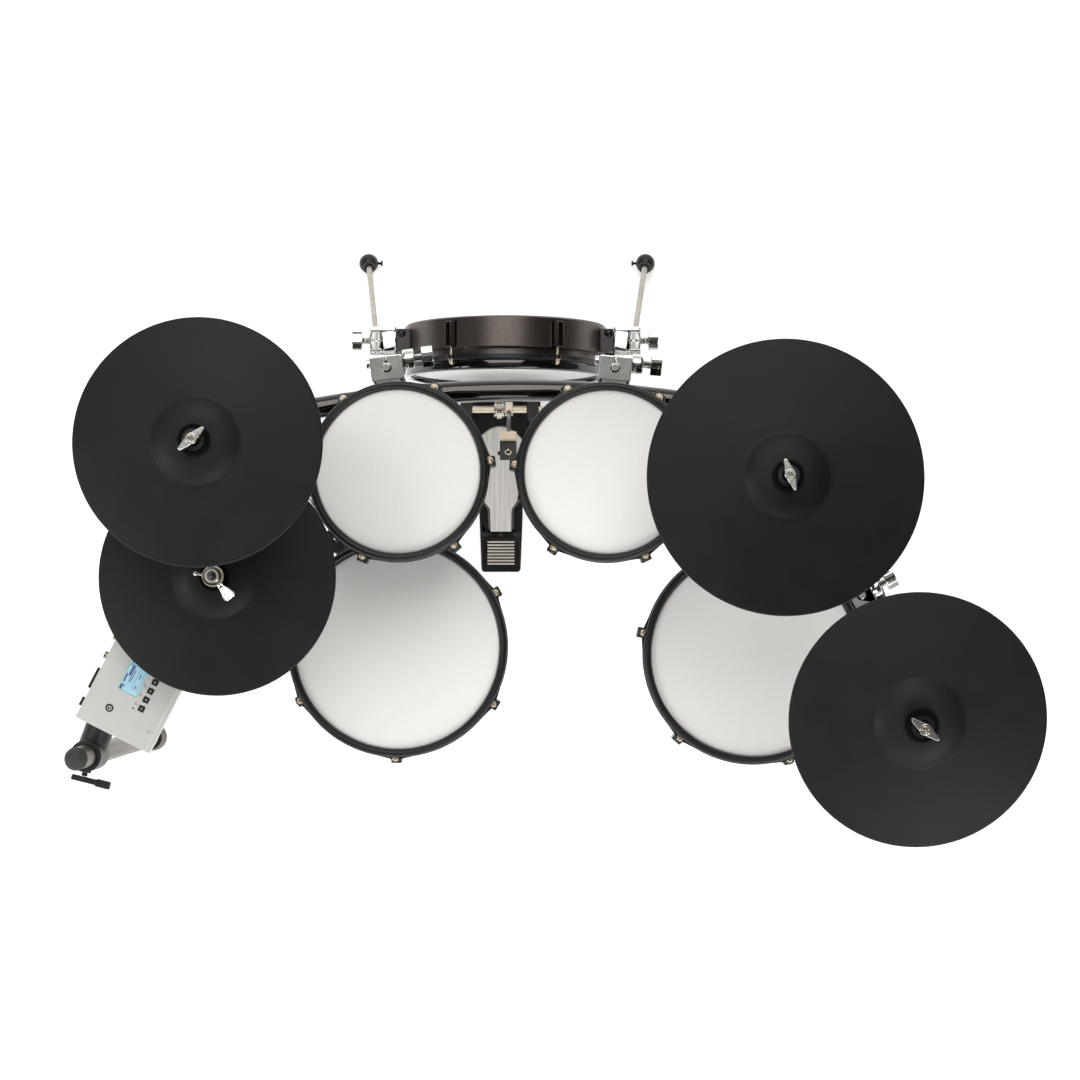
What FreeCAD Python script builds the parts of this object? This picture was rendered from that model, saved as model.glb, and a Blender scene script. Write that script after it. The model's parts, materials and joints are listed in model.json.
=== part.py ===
import FreeCAD, Part
import math
import os
from FreeCAD import Vector

# Electronic drum kit. X runs to the drummer's right, Y away from the drummer, Z up, in millimetres.

# Fits that all pieces share
fit = 0.2               # room round a piece that stays put
run_gap = 0.5           # room between pieces that move against each other
overrun = 4.0           # how far a cut passes a face

# Rack
tube_diameter = 35.0
tube_wall = 2.0
rack_mid_x = -13.0
front_half_span = 491.0
rear_half_span = 682.0
rear_post_y = -397.0
front_bar_y = 186.0
front_bar_height = 640.0
front_bar_bow = 1900.0
left_bar_height = 680.0
right_bar_height = 430.0
free_post_rise = 120.0
arm_post_rise = 65.0
free_post_top = left_bar_height + free_post_rise
arm_post_top = max(front_bar_height, left_bar_height) + arm_post_rise
foot_diameter = 51.0
foot_height = 36.0
foot_floor = 8.0
collar_diameter = 45.0
collar_height = 12.0
cap_diameter = 37.0
cap_height = 15.0
plug_length = 22.0
bush_diameter = 42.0
bush_height = 20.0

# Rack clamps
clamp_diameter = 50.0
clamp_height = 80.0
socket_diameter = 46.0
socket_reach = 64.0
socket_web = 6.0
handle_length = 66.0
handle_diameter = 11.0
handle_reach = 6.0
stud_diameter = 8.0
boss_diameter = 18.0
boss_reach = 3.0
arm_clamp_length = 46.0
rod_boss_diameter = 27.0
rod_boss_height = 56.0
clamp_web_height = 38.0

# Drum rods
drum_rod_diameter = 12.7
rod_bend_radius = 26.0
rod_tail = 30.0
rod_top_reach = 9.0
snare_arm_drop = 144.0

# Cymbal arms
arm_tube_diameter = 22.0
arm_tube_depth = 150.0
boom_diameter = 12.7
elbow_drop = 190.0
elbow_diameter = 30.0
elbow_width = 28.0
boom_tail = 10.0
seat_drop = 52.0
spindle_diameter = 8.0
tilter_diameter = 22.0
tilter_width = 20.0
wing_bolt_reach = 12.0

# Cymbals, heights along the spindle from the rocking centre
crash_diameter = 355.6
ride_diameter = 406.4
pad_hole_diameter = 19.0
pad_thickness = 8.0
bell_diameter = 126.0
bell_crown_diameter = 48.0
bell_height = 15.0
pad_crown = 7.0
pad_bow = 19.0
edge_radius = 3.2
washer_diameter = 46.0
washer_dome_radius = 26.0
felt_diameter = 36.0
felt_dome_radius = 22.0
seat_cup_diameter = 38.0
nut_diameter = 17.0
nut_height = 12.0
wing_span = 48.0
wing_thickness = 5.0
wing_height = 10.0
wing_tip_diameter = 11.0
spindle_reach = 34.0
jack_box_length = 46.0
jack_box_width = 34.0
jack_box_height = 16.0
jack_box_radius = 66.0

# Where the cymbals' rocking centres are from their posts, and how the third crash leans
crash_left_over_x = 38.0
crash_left_over_y = -53.5
crash_left_rise = 420.0
crash_hihat_room = 215.0
ride_over_x = -100.0
ride_over_y = -96.5
ride_rise = 301.0
crash_right_over_x = -131.0
crash_right_over_y = 71.0
crash_right_rise = 517.0
crash_right_lean_deg = 8.0

# Drums
tom_head_diameter = 254.0
large_head_diameter = 330.0
tom_rise = 166.0
large_rise = 184.0
drum_room = 10.0
tom_depth = 118.0
snare_depth = 112.0
floor_tom_depth = 132.0
shell_wall = 6.0
shell_step = 3.0
bottom_thickness = 5.0
head_thickness = 1.2
head_drop = 6.0
flesh_hoop_width = 5.0
flesh_hoop_height = 7.0
rim_width = 12.0
rim_height = 9.0
hoop_height = 26.0
hoop_wall = 3.0
flange_height = 7.0
ear_diameter = 18.0
ear_reach = 5.5
ear_gusset = 36.0
lug_width = 22.0
lug_height = 44.0
lug_drop = 34.0
tension_rod_diameter = 5.0
rod_washer_diameter = 10.0
rod_washer_height = 2.0
rod_head_diameter = 8.5
rod_head_height = 8.0
rod_offset = 26.0
bracket_width = 51.0
bracket_depth = 38.0
bracket_height = 62.0
bracket_drop = 36.0
bracket_plate_width = 64.0
bracket_plate_thickness = 4.0
bracket_fillet = 3.0
bolt_diameter = 8.0
bolt_nut_diameter = 15.0
bolt_nut_height = 7.0
barrel_diameter = 24.0
barrel_length = 12.0
bolt_reach = 30.0
bolt_setback = 12.5
knob_span = 36.0
knob_thickness = 8.0
knob_height = 18.0
knob_corner = 3.0
trigger_bar_width = 30.0
trigger_bar_thickness = 4.0
trigger_bar_drop = 46.0
cone_base_diameter = 34.0
cone_tip_diameter = 14.0

large_height = right_bar_height + large_rise
snare_arm_height = large_height - snare_arm_drop
tom_height = max(front_bar_height + tom_rise, large_height + rim_height + drum_room + tom_depth)
tom_left_x = -200.0
tom_left_y = 46.0
tom_right_x = 122.0
tom_right_y = 45.0
snare_x = -211.0
snare_y = -226.0
floor_tom_x = 363.0
floor_tom_y = -238.0
tom_left_place = Vector(tom_left_x, tom_left_y, tom_height)
tom_right_place = Vector(tom_right_x, tom_right_y, tom_height)
snare_place = Vector(snare_x, snare_y, large_height)
floor_tom_place = Vector(floor_tom_x, floor_tom_y, large_height)
tom_left_bracket_deg = 97.0
tom_right_bracket_deg = 85.0
snare_bracket_deg = 119.0
floor_tom_bracket_deg = 28.0
lug_count = 6
lug_lead_deg = 30.0
floor_tom_lug_lead_deg = 21.0

# Handle and wing nut directions, degrees from +X towards +Y
rear_left_handle_deg = -104.0
front_left_handle_deg = 150.0
front_right_handle_deg = 60.0
rear_right_handle_deg = 200.0
crash_left_wing_deg = 42.0
ride_wing_deg = 108.0
crash_right_wing_deg = -38.0

# Shares of the sizes that they follow
shoulder_share = 0.65
bell_bulge_share = 0.24
bow_bulge_share = 0.42
rim_round_share = 0.35
corner_share = 0.25
neck_share = 0.7
slot_share = 0.5
mount_share = 0.8
leg_depth_share = 0.2
collar_share = 0.62
grip_bar_share = 0.55
board_wide_share = 0.62
board_mid_share = 0.34
board_narrow_share = 0.25
handle_offset_share = 0.18
roller_share = 0.6
half_share = 0.5
module_bar_share = 0.27

# Kick drum and its spurs
kick_diameter = 356.0
kick_depth = 83.0
kick_step = 30.0
kick_lug_width = 16.0
kick_lug_margin = 9.0
kick_x = -42.0
kick_y = 254.0
kick_height = 218.0
kick_place = Vector(kick_x, kick_y, kick_height)
spur_mount_width = 22.0
spur_setback = 53.0
spur_rise = 46.0
spur_block_width = 37.0
spur_block_length = 50.0
spur_block_height = 40.0
spur_stud_diameter = 12.0
spur_stud_reach = 12.0
spur_leg_setback = 25.0
spur_leg_diameter = 10.0
spur_spread = 56.0
spur_reach = 171.0
spur_bolt_reach = 12.0
ball_diameter = 35.0
ball_flat = 1.0

# Kick pedal
pedal_x = -53.0
axle_y = 192.0
axle_height = 200.0
axle_length = 98.0
axle_flats = 11.0
journal_diameter = 9.0
upright_width = 20.0
upright_length = 34.0
upright_cap = 16.0
base_width = 146.0
base_heel_width = 72.0
base_neck_width = 80.0
base_neck_y = 13.0
base_wide_y = 96.0
base_front_y = 236.0
base_corner = 14.0
base_thickness = 5.0
jaw_width = 46.0
jaw_length = 60.0
heel_hinge_y = -23.0
heel_hinge_height = 16.0
heel_plate_length = 70.0
heel_plate_width = 70.0
heel_plate_height = 10.0
heel_corner = 8.0
knuckle_diameter = 10.0
knuckle_width = 12.0
pin_diameter = 5.0
grip_area_length = 46.0
grip_bar_count = 8
grip_bar_width = 50.0
grip_bar_height = 1.6
board_slope_deg = 28.0
board_length = 218.0
board_heel_width = 38.0
board_mid_width = 62.0
board_toe_width = 96.0
board_peak = 22.0
board_thickness = 5.0
strip_width = 6.0
hook_width = 12.0
cam_diameter = 34.0
cam_width = 9.0
hub_width = 14.0
hub_length = 24.0
crank_width = 8.0
crank_reach = 22.0
beater_offset = 17.0
beater_radius = 131.0
beater_back_deg = 33.0
beater_rod_diameter = 8.0
beater_width = 29.0
beater_length = 35.0
beater_depth = 37.0
felt_thickness = 12.0
chain_pitch = 12.0
chain_width = 18.0
chain_height = 9.0
chain_plate = 2.0
chain_wrap_degs = [118.0, 80.0, 40.0, 0.0]
spring_wire = 2.2
spring_diameter = 16.0
spring_turns = 18
spring_post_height = 40.0

# Hi-hat
hihat_x = -464.0
hihat_y = -119.0
hihat_tom_room = 144.0
hihat_module_room = 104.0
hihat_tube_diameter = 26.0
hihat_tube_low = 150.0
hihat_joint_height = 560.0
hihat_seat_drop = 84.0
controller_height = 30.0
controller_diameter = 48.0
hihat_rod_diameter = 6.0
hihat_rod_reach = 66.0
hihat_hub_height = 330.0
hub_diameter = 46.0
hihat_leg_spread = 210.0
hihat_leg_width = 18.0
hihat_leg_thickness = 5.0
hihat_foot_diameter = 18.0
hihat_pedal_deg = -60.0
hihat_pedal_length = 280.0
hihat_pedal_width = 70.0
hihat_hinge_height = 18.0
yoke_gap = 52.0
hihat_slope_deg = 18.0
hihat_board_length = 250.0
hihat_board_width = 46.0
hihat_link_height = 101.0
hihat_link_length = 46.0
hihat_link_width = 18.0
clutch_diameter = 30.0
clutch_height = 24.0
clutch_washer_diameter = 38.0
clutch_washer_height = 4.0
clutch_wing_deg = -50.0
clutch_pin_deg = 172.0
felt_height = 6.0

# Sound module
module_length = 200.0
module_width = 126.0
module_height = 44.0
module_corner = 7.0
module_front_round = 12.0
module_lift = 166.0
module_rise = 64.0
module_offset_x = 22.0
module_offset_y = 0.0
module_heading_deg = 27.2
module_tilt_deg = 6.0
screen_x = -11.0
screen_y = -6.0
screen_width = 32.0
screen_length = 53.0
screen_depth = 1.6
button_row_x = 20.5
button_row_y = -44.0
button_pitch = 15.0
button_count = 5
button_size = 8.4
button_depth = 6.0
button_body = 4.0
button_proud = 1.5
button_corner = 1.2
power_x = -23.4
power_y = -64.7
power_diameter = 11.0
mount_plate_thickness = 4.0
mount_plate_width = 60.0
mount_plate_length = 90.0
hinge_barrel_length = 30.0
hinge_barrel_diameter = 18.0
ear_thickness = 5.0
jack_places = [86.0, 69.0, 52.0, 35.0, 3.0]
jack_diameter = 12.0
jack_reach = 6.0
port_reach = 5.0
port_length = 34.0
port_height = 9.0
port_y = -36.0
switch_y = -76.0
switch_length = 14.0

# Stop collars and seat cups
stop_collar_diameter = 25.0
stop_collar_height = 14.0
seat_cup_base = 34.0
seat_cup_rim = 14.0

hihat_rod_bore = hihat_rod_diameter + 2 * run_gap
module_top_height = left_bar_height + module_lift
hihat_height = max(tom_height + hihat_tom_room, module_top_height + hihat_module_room)
hihat_place = Vector(hihat_x, hihat_y, hihat_height)
UP = Vector(0, 0, 1)
RIGHT = Vector(1, 0, 0)
AHEAD = Vector(0, 1, 0)

tube_radius = tube_diameter / 2
drum_rod_radius = drum_rod_diameter / 2
nodes = {}


# Shapes that many pieces share

def flat_dir(angle_deg):
    """Unit direction on the floor, counted from +X towards +Y."""
    return Vector(math.cos(math.radians(angle_deg)), math.sin(math.radians(angle_deg)), 0)


def at_height(place, height):
    """The same floor position at another height."""
    return Vector(place.x, place.y, height)


def rod(start, end, diameter):
    """A round bar from one point to another."""
    return Part.makeCylinder(diameter / 2, (end - start).Length, start, end - start)


def tube(start, end, diameter, bore):
    """A round tube between two points."""
    along = (end - start).normalize() * overrun
    return rod(start, end, diameter).cut(rod(start - along, end + along, bore))


def turned(outline, base, axis=UP):
    """Spin a closed outline of (radius, height) pairs about an axis that stands on base."""
    points = [Vector(radius, 0, height) for radius, height in outline]
    face = Part.Face(Part.makePolygon(points + points[:1]))
    solid = face.revolve(Vector(0, 0, 0), UP, 360)
    solid.Placement = FreeCAD.Placement(base, FreeCAD.Rotation(UP, axis))
    return solid


def block(centre, length, width, height, turn_deg=0, corner=0):
    """An upright block on a centre, its length turned from +X, with rounded upright edges."""
    solid = Part.makeBox(length, width, height, Vector(-length / 2, -width / 2, -height / 2))
    if corner:
        upright = [edge for edge in solid.Edges if abs(edge.tangentAt(0).z) > abs(edge.tangentAt(0).x)
                   + abs(edge.tangentAt(0).y)]
        solid = solid.makeFillet(corner, upright)
    solid.Placement = FreeCAD.Placement(centre, FreeCAD.Rotation(UP, turn_deg))
    return solid


def joined(first, *others):
    """Fuse pieces into one clean solid."""
    return first.fuse(list(others)).removeSplitter()


def bent_rod(points, diameter, bend_radius):
    """A round bar along straight runs that meet in arcs of one radius."""
    edges = []
    start = points[0]
    for before, corner, after in zip(points, points[1:], points[2:]):
        towards = (before - corner).normalize()
        away = (after - corner).normalize()
        half_angle = towards.getAngle(away) / 2
        setback = bend_radius / math.tan(half_angle)
        middle = (towards + away).normalize()
        hub = corner + middle * (bend_radius / math.sin(half_angle))
        entry = corner + towards * setback
        leave = corner + away * setback
        edges.append(Part.LineSegment(start, entry).toShape())
        edges.append(Part.Arc(entry, hub - middle * bend_radius, leave).toShape())
        start = leave
    edges.append(Part.LineSegment(start, points[-1]).toShape())
    section = Part.Wire(Part.makeCircle(diameter / 2, points[0], points[1] - points[0]))
    return Part.Wire(edges).makePipeShell([section], True, False)


def wing(base, axis, across, span, thickness, height, stem_diameter, stem_reach, bore=0):
    """A wing bolt head: a stem that rises from base, with two rounded wings across its top."""
    axis = Vector(axis).normalize()
    across = Vector(across).normalize()
    side = axis.cross(across)
    stem = rod(base, base + axis * (stem_reach + height / 2), stem_diameter)
    tip = height / 2
    low = base + axis * (stem_reach + tip) - side * (thickness / 2)
    reach = span / 2 - tip
    ends = [rod(low + across * (reach * sign), low + across * (reach * sign) + side * thickness, height)
            for sign in (-1, 1)]
    corners = [low + across * (reach * a) + axis * (tip * b) for a, b in ((-1, -1), (1, -1), (1, 1), (-1, 1))]
    web = Part.Face(Part.makePolygon(corners + corners[:1])).extrude(side * thickness)
    solid = joined(web, stem, *ends)
    if bore:
        through = axis * overrun
        solid = solid.cut(rod(base - through, base + axis * (stem_reach + height) + through, bore))
    return solid


def wing_knob(base, axis, across, reach):
    """A clamp's knob: a round barrel on the face, a stem and a flat plate to turn it by."""
    side = axis.cross(across)
    half = knob_span / 2
    far = reach + knob_height
    corners = [(-half, reach + knob_corner), (knob_corner - half, reach), (half - knob_corner, reach),
               (half, reach + knob_corner), (half, far - knob_corner), (half - knob_corner, far),
               (knob_corner - half, far), (-half, far - knob_corner)]
    grip = plate(corners, base - side * (knob_thickness / 2), axis, across, side, knob_thickness)
    barrel = rod(base, base + axis * barrel_length, barrel_diameter)
    rim = [edge for edge in barrel.Edges if edge.Closed]
    barrel = barrel.makeChamfer(tube_wall * half_share, rim)
    stem = rod(base, base + axis * (reach + knob_height / 2), bolt_diameter)
    return joined(grip, barrel, stem)


def t_handle(base, axis, across):
    """A clamp's T-handle: a stud, a hub and a round bar across it."""
    axis = Vector(axis).normalize()
    across = Vector(across).normalize()
    top = base + axis * (handle_reach + handle_diameter / 2)
    stud = rod(base, base + axis * handle_reach, stud_diameter)
    hub = Part.makeCone(stud_diameter / 2, handle_diameter / 2, handle_reach, base, axis)
    half = across * (handle_length / 2 - handle_diameter / 2)
    middle = top + across * (handle_length * handle_offset_share)
    bar = rod(middle - half, middle + half, handle_diameter)
    tips = [Part.makeSphere(handle_diameter / 2, middle + half * sign) for sign in (-1, 1)]
    return joined(bar, stud, hub, *tips)


# Rack: posts, feet, bars

front_post_y = front_bar_y - front_bar_bow + math.sqrt(front_bar_bow ** 2 - front_half_span ** 2)
post_rear_left = Vector(rack_mid_x - rear_half_span, rear_post_y, 0)
post_rear_right = Vector(rack_mid_x + rear_half_span, rear_post_y, 0)
post_front_left = Vector(rack_mid_x - front_half_span, front_post_y, 0)
post_front_right = Vector(rack_mid_x + front_half_span, front_post_y, 0)
arm_posts = [post_front_left, post_front_right, post_rear_right]
tube_bore = tube_diameter - 2 * tube_wall
socket_floor = tube_radius + fit + socket_web


def make_posts():
    tops = [(post_rear_left, free_post_top)] + [(post, arm_post_top) for post in arm_posts]
    return [tube(at_height(post, foot_floor), at_height(post, top), tube_diameter, tube_bore)
            for post, top in tops]


def make_feet():
    outer = foot_diameter / 2
    inner = tube_radius + fit
    neck = (outer + inner) / 2
    waist = foot_height / 2
    outline = [(0, 0), (outer, 0), (outer, waist), (neck, foot_height), (inner, foot_height),
               (inner, foot_floor), (0, foot_floor)]
    return [turned(outline, post) for post in [post_rear_left] + arm_posts]


def make_post_fittings():
    """A collar on every foot, a domed cap on the free post and a bushing in each arm post."""
    solids = []
    for post in [post_rear_left] + arm_posts:
        low = at_height(post, foot_height)
        solids.append(tube(low, low + UP * collar_height, collar_diameter, tube_diameter + 2 * fit))
    cap_base = at_height(post_rear_left, free_post_top)
    dome_radius = ((cap_diameter / 2) ** 2 + cap_height ** 2) / (2 * cap_height)
    dome = Part.makeSphere(dome_radius, cap_base + UP * (cap_height - dome_radius))
    dome = dome.common(rod(cap_base, cap_base + UP * cap_diameter, 2 * cap_diameter))
    plug = rod(cap_base - UP * plug_length, cap_base, tube_bore - 2 * fit)
    solids.append(joined(dome, plug))
    for post in arm_posts:
        top = at_height(post, arm_post_top)
        sleeve = rod(top - UP * plug_length, top, tube_bore - 2 * fit)
        flange = rod(top, top + UP * bush_height, bush_diameter)
        rim = [edge for edge in flange.Edges if edge.BoundBox.ZMin > arm_post_top and edge.Closed]
        flange = flange.makeFillet(tube_wall, rim)
        bore = rod(top - UP * (plug_length + overrun), top + UP * (bush_height + overrun),
                   arm_tube_diameter + 2 * fit)
        solids.append(joined(flange, sleeve).cut(bore))
    return solids


bow_centre = Vector(rack_mid_x, front_bar_y - front_bar_bow, front_bar_height)


def front_bar_solid(diameter, end_angle):
    """The bowed bar as a turned arc, symmetric about the rack's middle."""
    start = FreeCAD.Rotation(UP, -end_angle).multVec(AHEAD)
    place = bow_centre + start * front_bar_bow
    section = Part.Face(Part.Wire(Part.makeCircle(diameter / 2, place, start.cross(UP))))
    return section.revolve(bow_centre, UP, 2 * end_angle)


post_angle = math.degrees(math.asin(front_half_span / front_bar_bow))
bar_end_angle = post_angle - math.degrees(socket_floor / front_bar_bow)


def front_bar_point(x):
    """A point of the bowed bar's axis over a given X."""
    return Vector(x, bow_centre.y + math.sqrt(front_bar_bow ** 2 - (x - rack_mid_x) ** 2), front_bar_height)


def make_front_bar():
    bore = front_bar_solid(tube_bore, post_angle)
    return [front_bar_solid(tube_diameter, bar_end_angle).cut(bore)]


def side_bar_ends(rear, front, height):
    """Both ends of a straight side bar, each seated in its clamp's socket."""
    low = at_height(rear, height)
    high = at_height(front, height)
    along = (high - low).normalize() * socket_floor
    return low + along, high - along


def make_side_bars():
    left = side_bar_ends(post_rear_left, post_front_left, left_bar_height)
    right = side_bar_ends(post_rear_right, post_front_right, right_bar_height)
    return [tube(ends[0], ends[1], tube_diameter, tube_bore) for ends in (left, right)]


# Rack clamps

def corner_clamp(post, low, high, sockets, bar_cuts, handle_deg):
    """A clamp round a post with one socket for each bar and a T-handle on a boss."""
    body = rod(at_height(post, low), at_height(post, high), clamp_diameter)
    for height, towards in sockets:
        start = at_height(post, height)
        body = body.fuse(rod(start, start + towards * socket_reach, socket_diameter))
    middle = at_height(post, (low + high) / 2)
    out = flat_dir(handle_deg)
    boss_end = middle + out * (clamp_diameter / 2 + boss_reach)
    body = joined(body, rod(middle, boss_end, boss_diameter))
    body = body.cut(rod(at_height(post, low - overrun), at_height(post, high + overrun),
                        tube_diameter + 2 * fit))
    for cut in bar_cuts:
        body = body.cut(cut)
    return [body, t_handle(boss_end, out, flat_dir(handle_deg + 90))]


def bar_bore(ends):
    """The space that a straight bar takes up in its sockets."""
    return rod(ends[0], ends[1], tube_diameter + 2 * fit)


def arm_clamp(rod_place, bar_point, bar_along, bar_cut):
    """A clamp round a bar with an upright boss for a drum rod, and a handle below."""
    half = bar_along * (arm_clamp_length / 2)
    barrel = rod(bar_point - half, bar_point + half, clamp_diameter)
    centre = at_height(rod_place, bar_point.z)
    boss = rod(centre - UP * (rod_boss_height / 2), centre + UP * (rod_boss_height / 2), rod_boss_diameter)
    span = centre - bar_point
    web = block((centre + bar_point) / 2, span.Length, rod_boss_diameter, clamp_web_height,
                math.degrees(math.atan2(span.y, span.x)))
    stub_end = bar_point - UP * (clamp_diameter / 2 + boss_reach)
    stub = rod(bar_point, stub_end, boss_diameter)
    body = joined(barrel, boss, web, stub).cut(bar_cut)
    reach = UP * (rod_boss_height / 2 + overrun)
    body = body.cut(rod(centre - reach, centre + reach, drum_rod_diameter + 2 * fit))
    return [body, t_handle(stub_end, -UP, bar_along)]


def drum_rod_place(place, head_diameter, bracket_deg):
    """Where the upright rod of a drum stands."""
    return place + flat_dir(bracket_deg) * (head_diameter / 2 + rim_width + rod_offset)


tom_left_rod = drum_rod_place(tom_left_place, tom_head_diameter, tom_left_bracket_deg)
tom_right_rod = drum_rod_place(tom_right_place, tom_head_diameter, tom_right_bracket_deg)
snare_rod = drum_rod_place(snare_place, large_head_diameter, snare_bracket_deg)
floor_tom_rod = drum_rod_place(floor_tom_place, large_head_diameter, floor_tom_bracket_deg)


def make_rack_clamps():
    """Corner clamps on the posts, then the arm clamps that hold the drum rods."""
    left_ends = side_bar_ends(post_rear_left, post_front_left, left_bar_height)
    right_ends = side_bar_ends(post_rear_right, post_front_right, right_bar_height)
    left_along = (left_ends[1] - left_ends[0]).normalize()
    right_along = (right_ends[1] - right_ends[0]).normalize()
    left_bore = bar_bore(left_ends)
    right_bore = bar_bore(right_ends)
    bow_bore = front_bar_solid(tube_diameter + 2 * fit, bar_end_angle)
    bow_end = front_bar_point(post_front_left.x)
    to_right = (front_bar_point(post_front_left.x + socket_reach) - bow_end).normalize()
    to_left = Vector(-to_right.x, to_right.y, 0)
    half = clamp_height / 2
    solids = corner_clamp(post_rear_left, left_bar_height - half, left_bar_height + half,
                          [(left_bar_height, left_along)], [left_bore], rear_left_handle_deg)
    low = min(front_bar_height, left_bar_height) - half
    high = max(front_bar_height, left_bar_height) + half
    solids += corner_clamp(post_front_left, low, high,
                           [(left_bar_height, -left_along), (front_bar_height, to_right)],
                           [left_bore, bow_bore], front_left_handle_deg)
    solids += corner_clamp(post_front_right, front_bar_height - half, front_bar_height + half,
                           [(front_bar_height, to_left)], [bow_bore], front_right_handle_deg)
    solids += corner_clamp(post_front_right, right_bar_height - half, right_bar_height + half,
                           [(right_bar_height, -right_along)], [right_bore], front_right_handle_deg)
    solids += corner_clamp(post_rear_right, right_bar_height - half, right_bar_height + half,
                           [(right_bar_height, right_along)], [right_bore], rear_right_handle_deg)
    for place in (tom_left_rod, tom_right_rod):
        point = front_bar_point(place.x)
        along = UP.cross((point - bow_centre).normalize())
        solids += arm_clamp(place, point, along, bow_bore)
    reach = (floor_tom_rod - right_ends[0]).dot(right_along)
    solids += arm_clamp(floor_tom_rod, right_ends[0] + right_along * reach, right_along, right_bore)
    return solids + snare_clamp()


# Drum rods

rod_room = tube_radius + drum_rod_radius + socket_web
snare_post = at_height(post_front_left, snare_arm_height)
snare_elbow = at_height(snare_rod, snare_arm_height)
snare_side = (snare_elbow - snare_post).cross(UP).normalize()
snare_leg = snare_post - snare_side * rod_room
snare_along = (snare_elbow - snare_leg).normalize()


def snare_clamp():
    """A clamp round the front left post with a level boss for the snare's bent rod."""
    half_barrel = UP * (arm_clamp_length / 2)
    barrel = rod(snare_post - half_barrel, snare_post + half_barrel, clamp_diameter)
    half_boss = snare_along * (rod_boss_height / 2)
    boss = rod(snare_leg - half_boss, snare_leg + half_boss, rod_boss_diameter)
    out = (snare_post - snare_leg).normalize()
    boss_end = snare_post + out * (clamp_diameter / 2 + boss_reach)
    stub = rod(snare_post, boss_end, boss_diameter)
    turn = math.degrees(math.atan2(out.y, out.x))
    web = block((snare_post + snare_leg) / 2, (snare_post - snare_leg).Length, clamp_web_height,
                rod_boss_diameter, turn)
    body = joined(barrel, boss, stub, web)
    body = body.cut(rod(snare_post - half_barrel * 2, snare_post + half_barrel * 2, tube_diameter + 2 * fit))
    body = body.cut(rod(snare_leg - half_boss * 2, snare_leg + half_boss * 2, drum_rod_diameter + 2 * fit))
    return [body, t_handle(boss_end, out, UP)]


def make_drum_rods():
    """Three straight rods and the bent one, each with a stop collar under its drum's bracket."""
    solids = []
    rods = [(tom_left_rod, front_bar_height), (tom_right_rod, front_bar_height),
            (floor_tom_rod, right_bar_height)]
    for place, bar_height in rods:
        low = at_height(place, bar_height - rod_boss_height / 2 - rod_top_reach)
        solids.append(rod(low, at_height(place, place.z - bracket_drop + rod_top_reach), drum_rod_diameter))
    tail = snare_leg - snare_along * rod_tail
    top = at_height(snare_rod, snare_rod.z - bracket_drop + rod_top_reach)
    solids.append(bent_rod([tail, snare_elbow, top], drum_rod_diameter, rod_bend_radius))
    for place in (tom_left_rod, tom_right_rod, snare_rod, floor_tom_rod):
        seat = at_height(place, place.z - bracket_drop - bracket_height - run_gap)
        solids.append(tube(seat - UP * stop_collar_height, seat, stop_collar_diameter,
                           drum_rod_diameter + 2 * fit))
    return solids


# Cymbal arms

def cymbal_arm(post, centre, axis):
    """Lower tube, elbow, boom, tilter with its spindle, and the cup that the cymbal rocks in."""
    seat = centre - axis * seat_drop
    elbow = at_height(post, centre.z - elbow_drop)
    boom_along = (seat - elbow).normalize()
    across = UP.cross(boom_along).normalize()
    tube_top = elbow - UP * (elbow_diameter / 2)
    lower = tube(at_height(post, arm_post_top - arm_tube_depth), tube_top, arm_tube_diameter,
                 arm_tube_diameter - 2 * tube_wall)
    half = across * (elbow_width / 2)
    barrel = rod(elbow - half, elbow + half, elbow_diameter)
    neck_low = tube_top - UP * elbow_width
    neck = rod(neck_low, elbow, elbow_diameter).cut(rod(neck_low - UP * overrun, tube_top,
                                                         arm_tube_diameter + 2 * fit))
    bolt = wing(elbow + half, across, UP, knob_span, knob_thickness, knob_height, stud_diameter,
                wing_bolt_reach)
    hub = joined(barrel, neck, bolt)
    tail = elbow - boom_along * boom_tail
    boom_end = seat - boom_along * (boom_diameter / 2)
    hub = hub.cut(rod(tail, boom_end, boom_diameter + 2 * fit))
    boom = rod(tail, boom_end, boom_diameter)
    side = across * (tilter_width / 2)
    knuckle = rod(seat - side, seat + side, tilter_diameter)
    screw = wing(seat + side, across, UP, knob_span, knob_thickness, knob_height, stud_diameter,
                 wing_bolt_reach)
    shoulder = rod(seat, centre - axis * seat_cup_base, tilter_diameter * shoulder_share)
    spindle = rod(seat, centre + axis * spindle_reach, spindle_diameter)
    tilter = joined(knuckle, shoulder, spindle, screw)
    tilter = tilter.cut(rod(tail, boom_end, boom_diameter + 2 * fit))
    cup = rod(centre - axis * seat_cup_base, centre - axis * seat_cup_rim, seat_cup_diameter)
    cup = cup.cut(Part.makeSphere(felt_dome_radius + run_gap, centre))
    cup = cup.cut(rod(centre - axis * (seat_cup_base + overrun), centre, spindle_diameter + 2 * fit))
    return [lower, hub, boom, tilter, cup]


crash_left_height = max(arm_post_top + crash_left_rise, hihat_height + crash_hihat_room)
crash_left_place = post_front_left + Vector(crash_left_over_x, crash_left_over_y, crash_left_height)
ride_place = post_front_right + Vector(ride_over_x, ride_over_y, arm_post_top + ride_rise)
crash_right_place = post_rear_right + Vector(crash_right_over_x, crash_right_over_y,
                                             arm_post_top + crash_right_rise)
lean = FreeCAD.Rotation(RIGHT, crash_right_lean_deg)
crash_right_axis = lean.multVec(UP)
cymbals = {
    "crash_left": (post_front_left, crash_left_place, UP, crash_diameter, crash_left_wing_deg),
    "ride": (post_front_right, ride_place, UP, ride_diameter, ride_wing_deg),
    "crash_right": (post_rear_right, crash_right_place, crash_right_axis, crash_diameter,
                    crash_right_wing_deg),
}


def make_cymbal_arms():
    return [solid for post, centre, axis, diameter, turn in cymbals.values()
            for solid in cymbal_arm(post, centre, axis)]


# Cymbal pads

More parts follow.
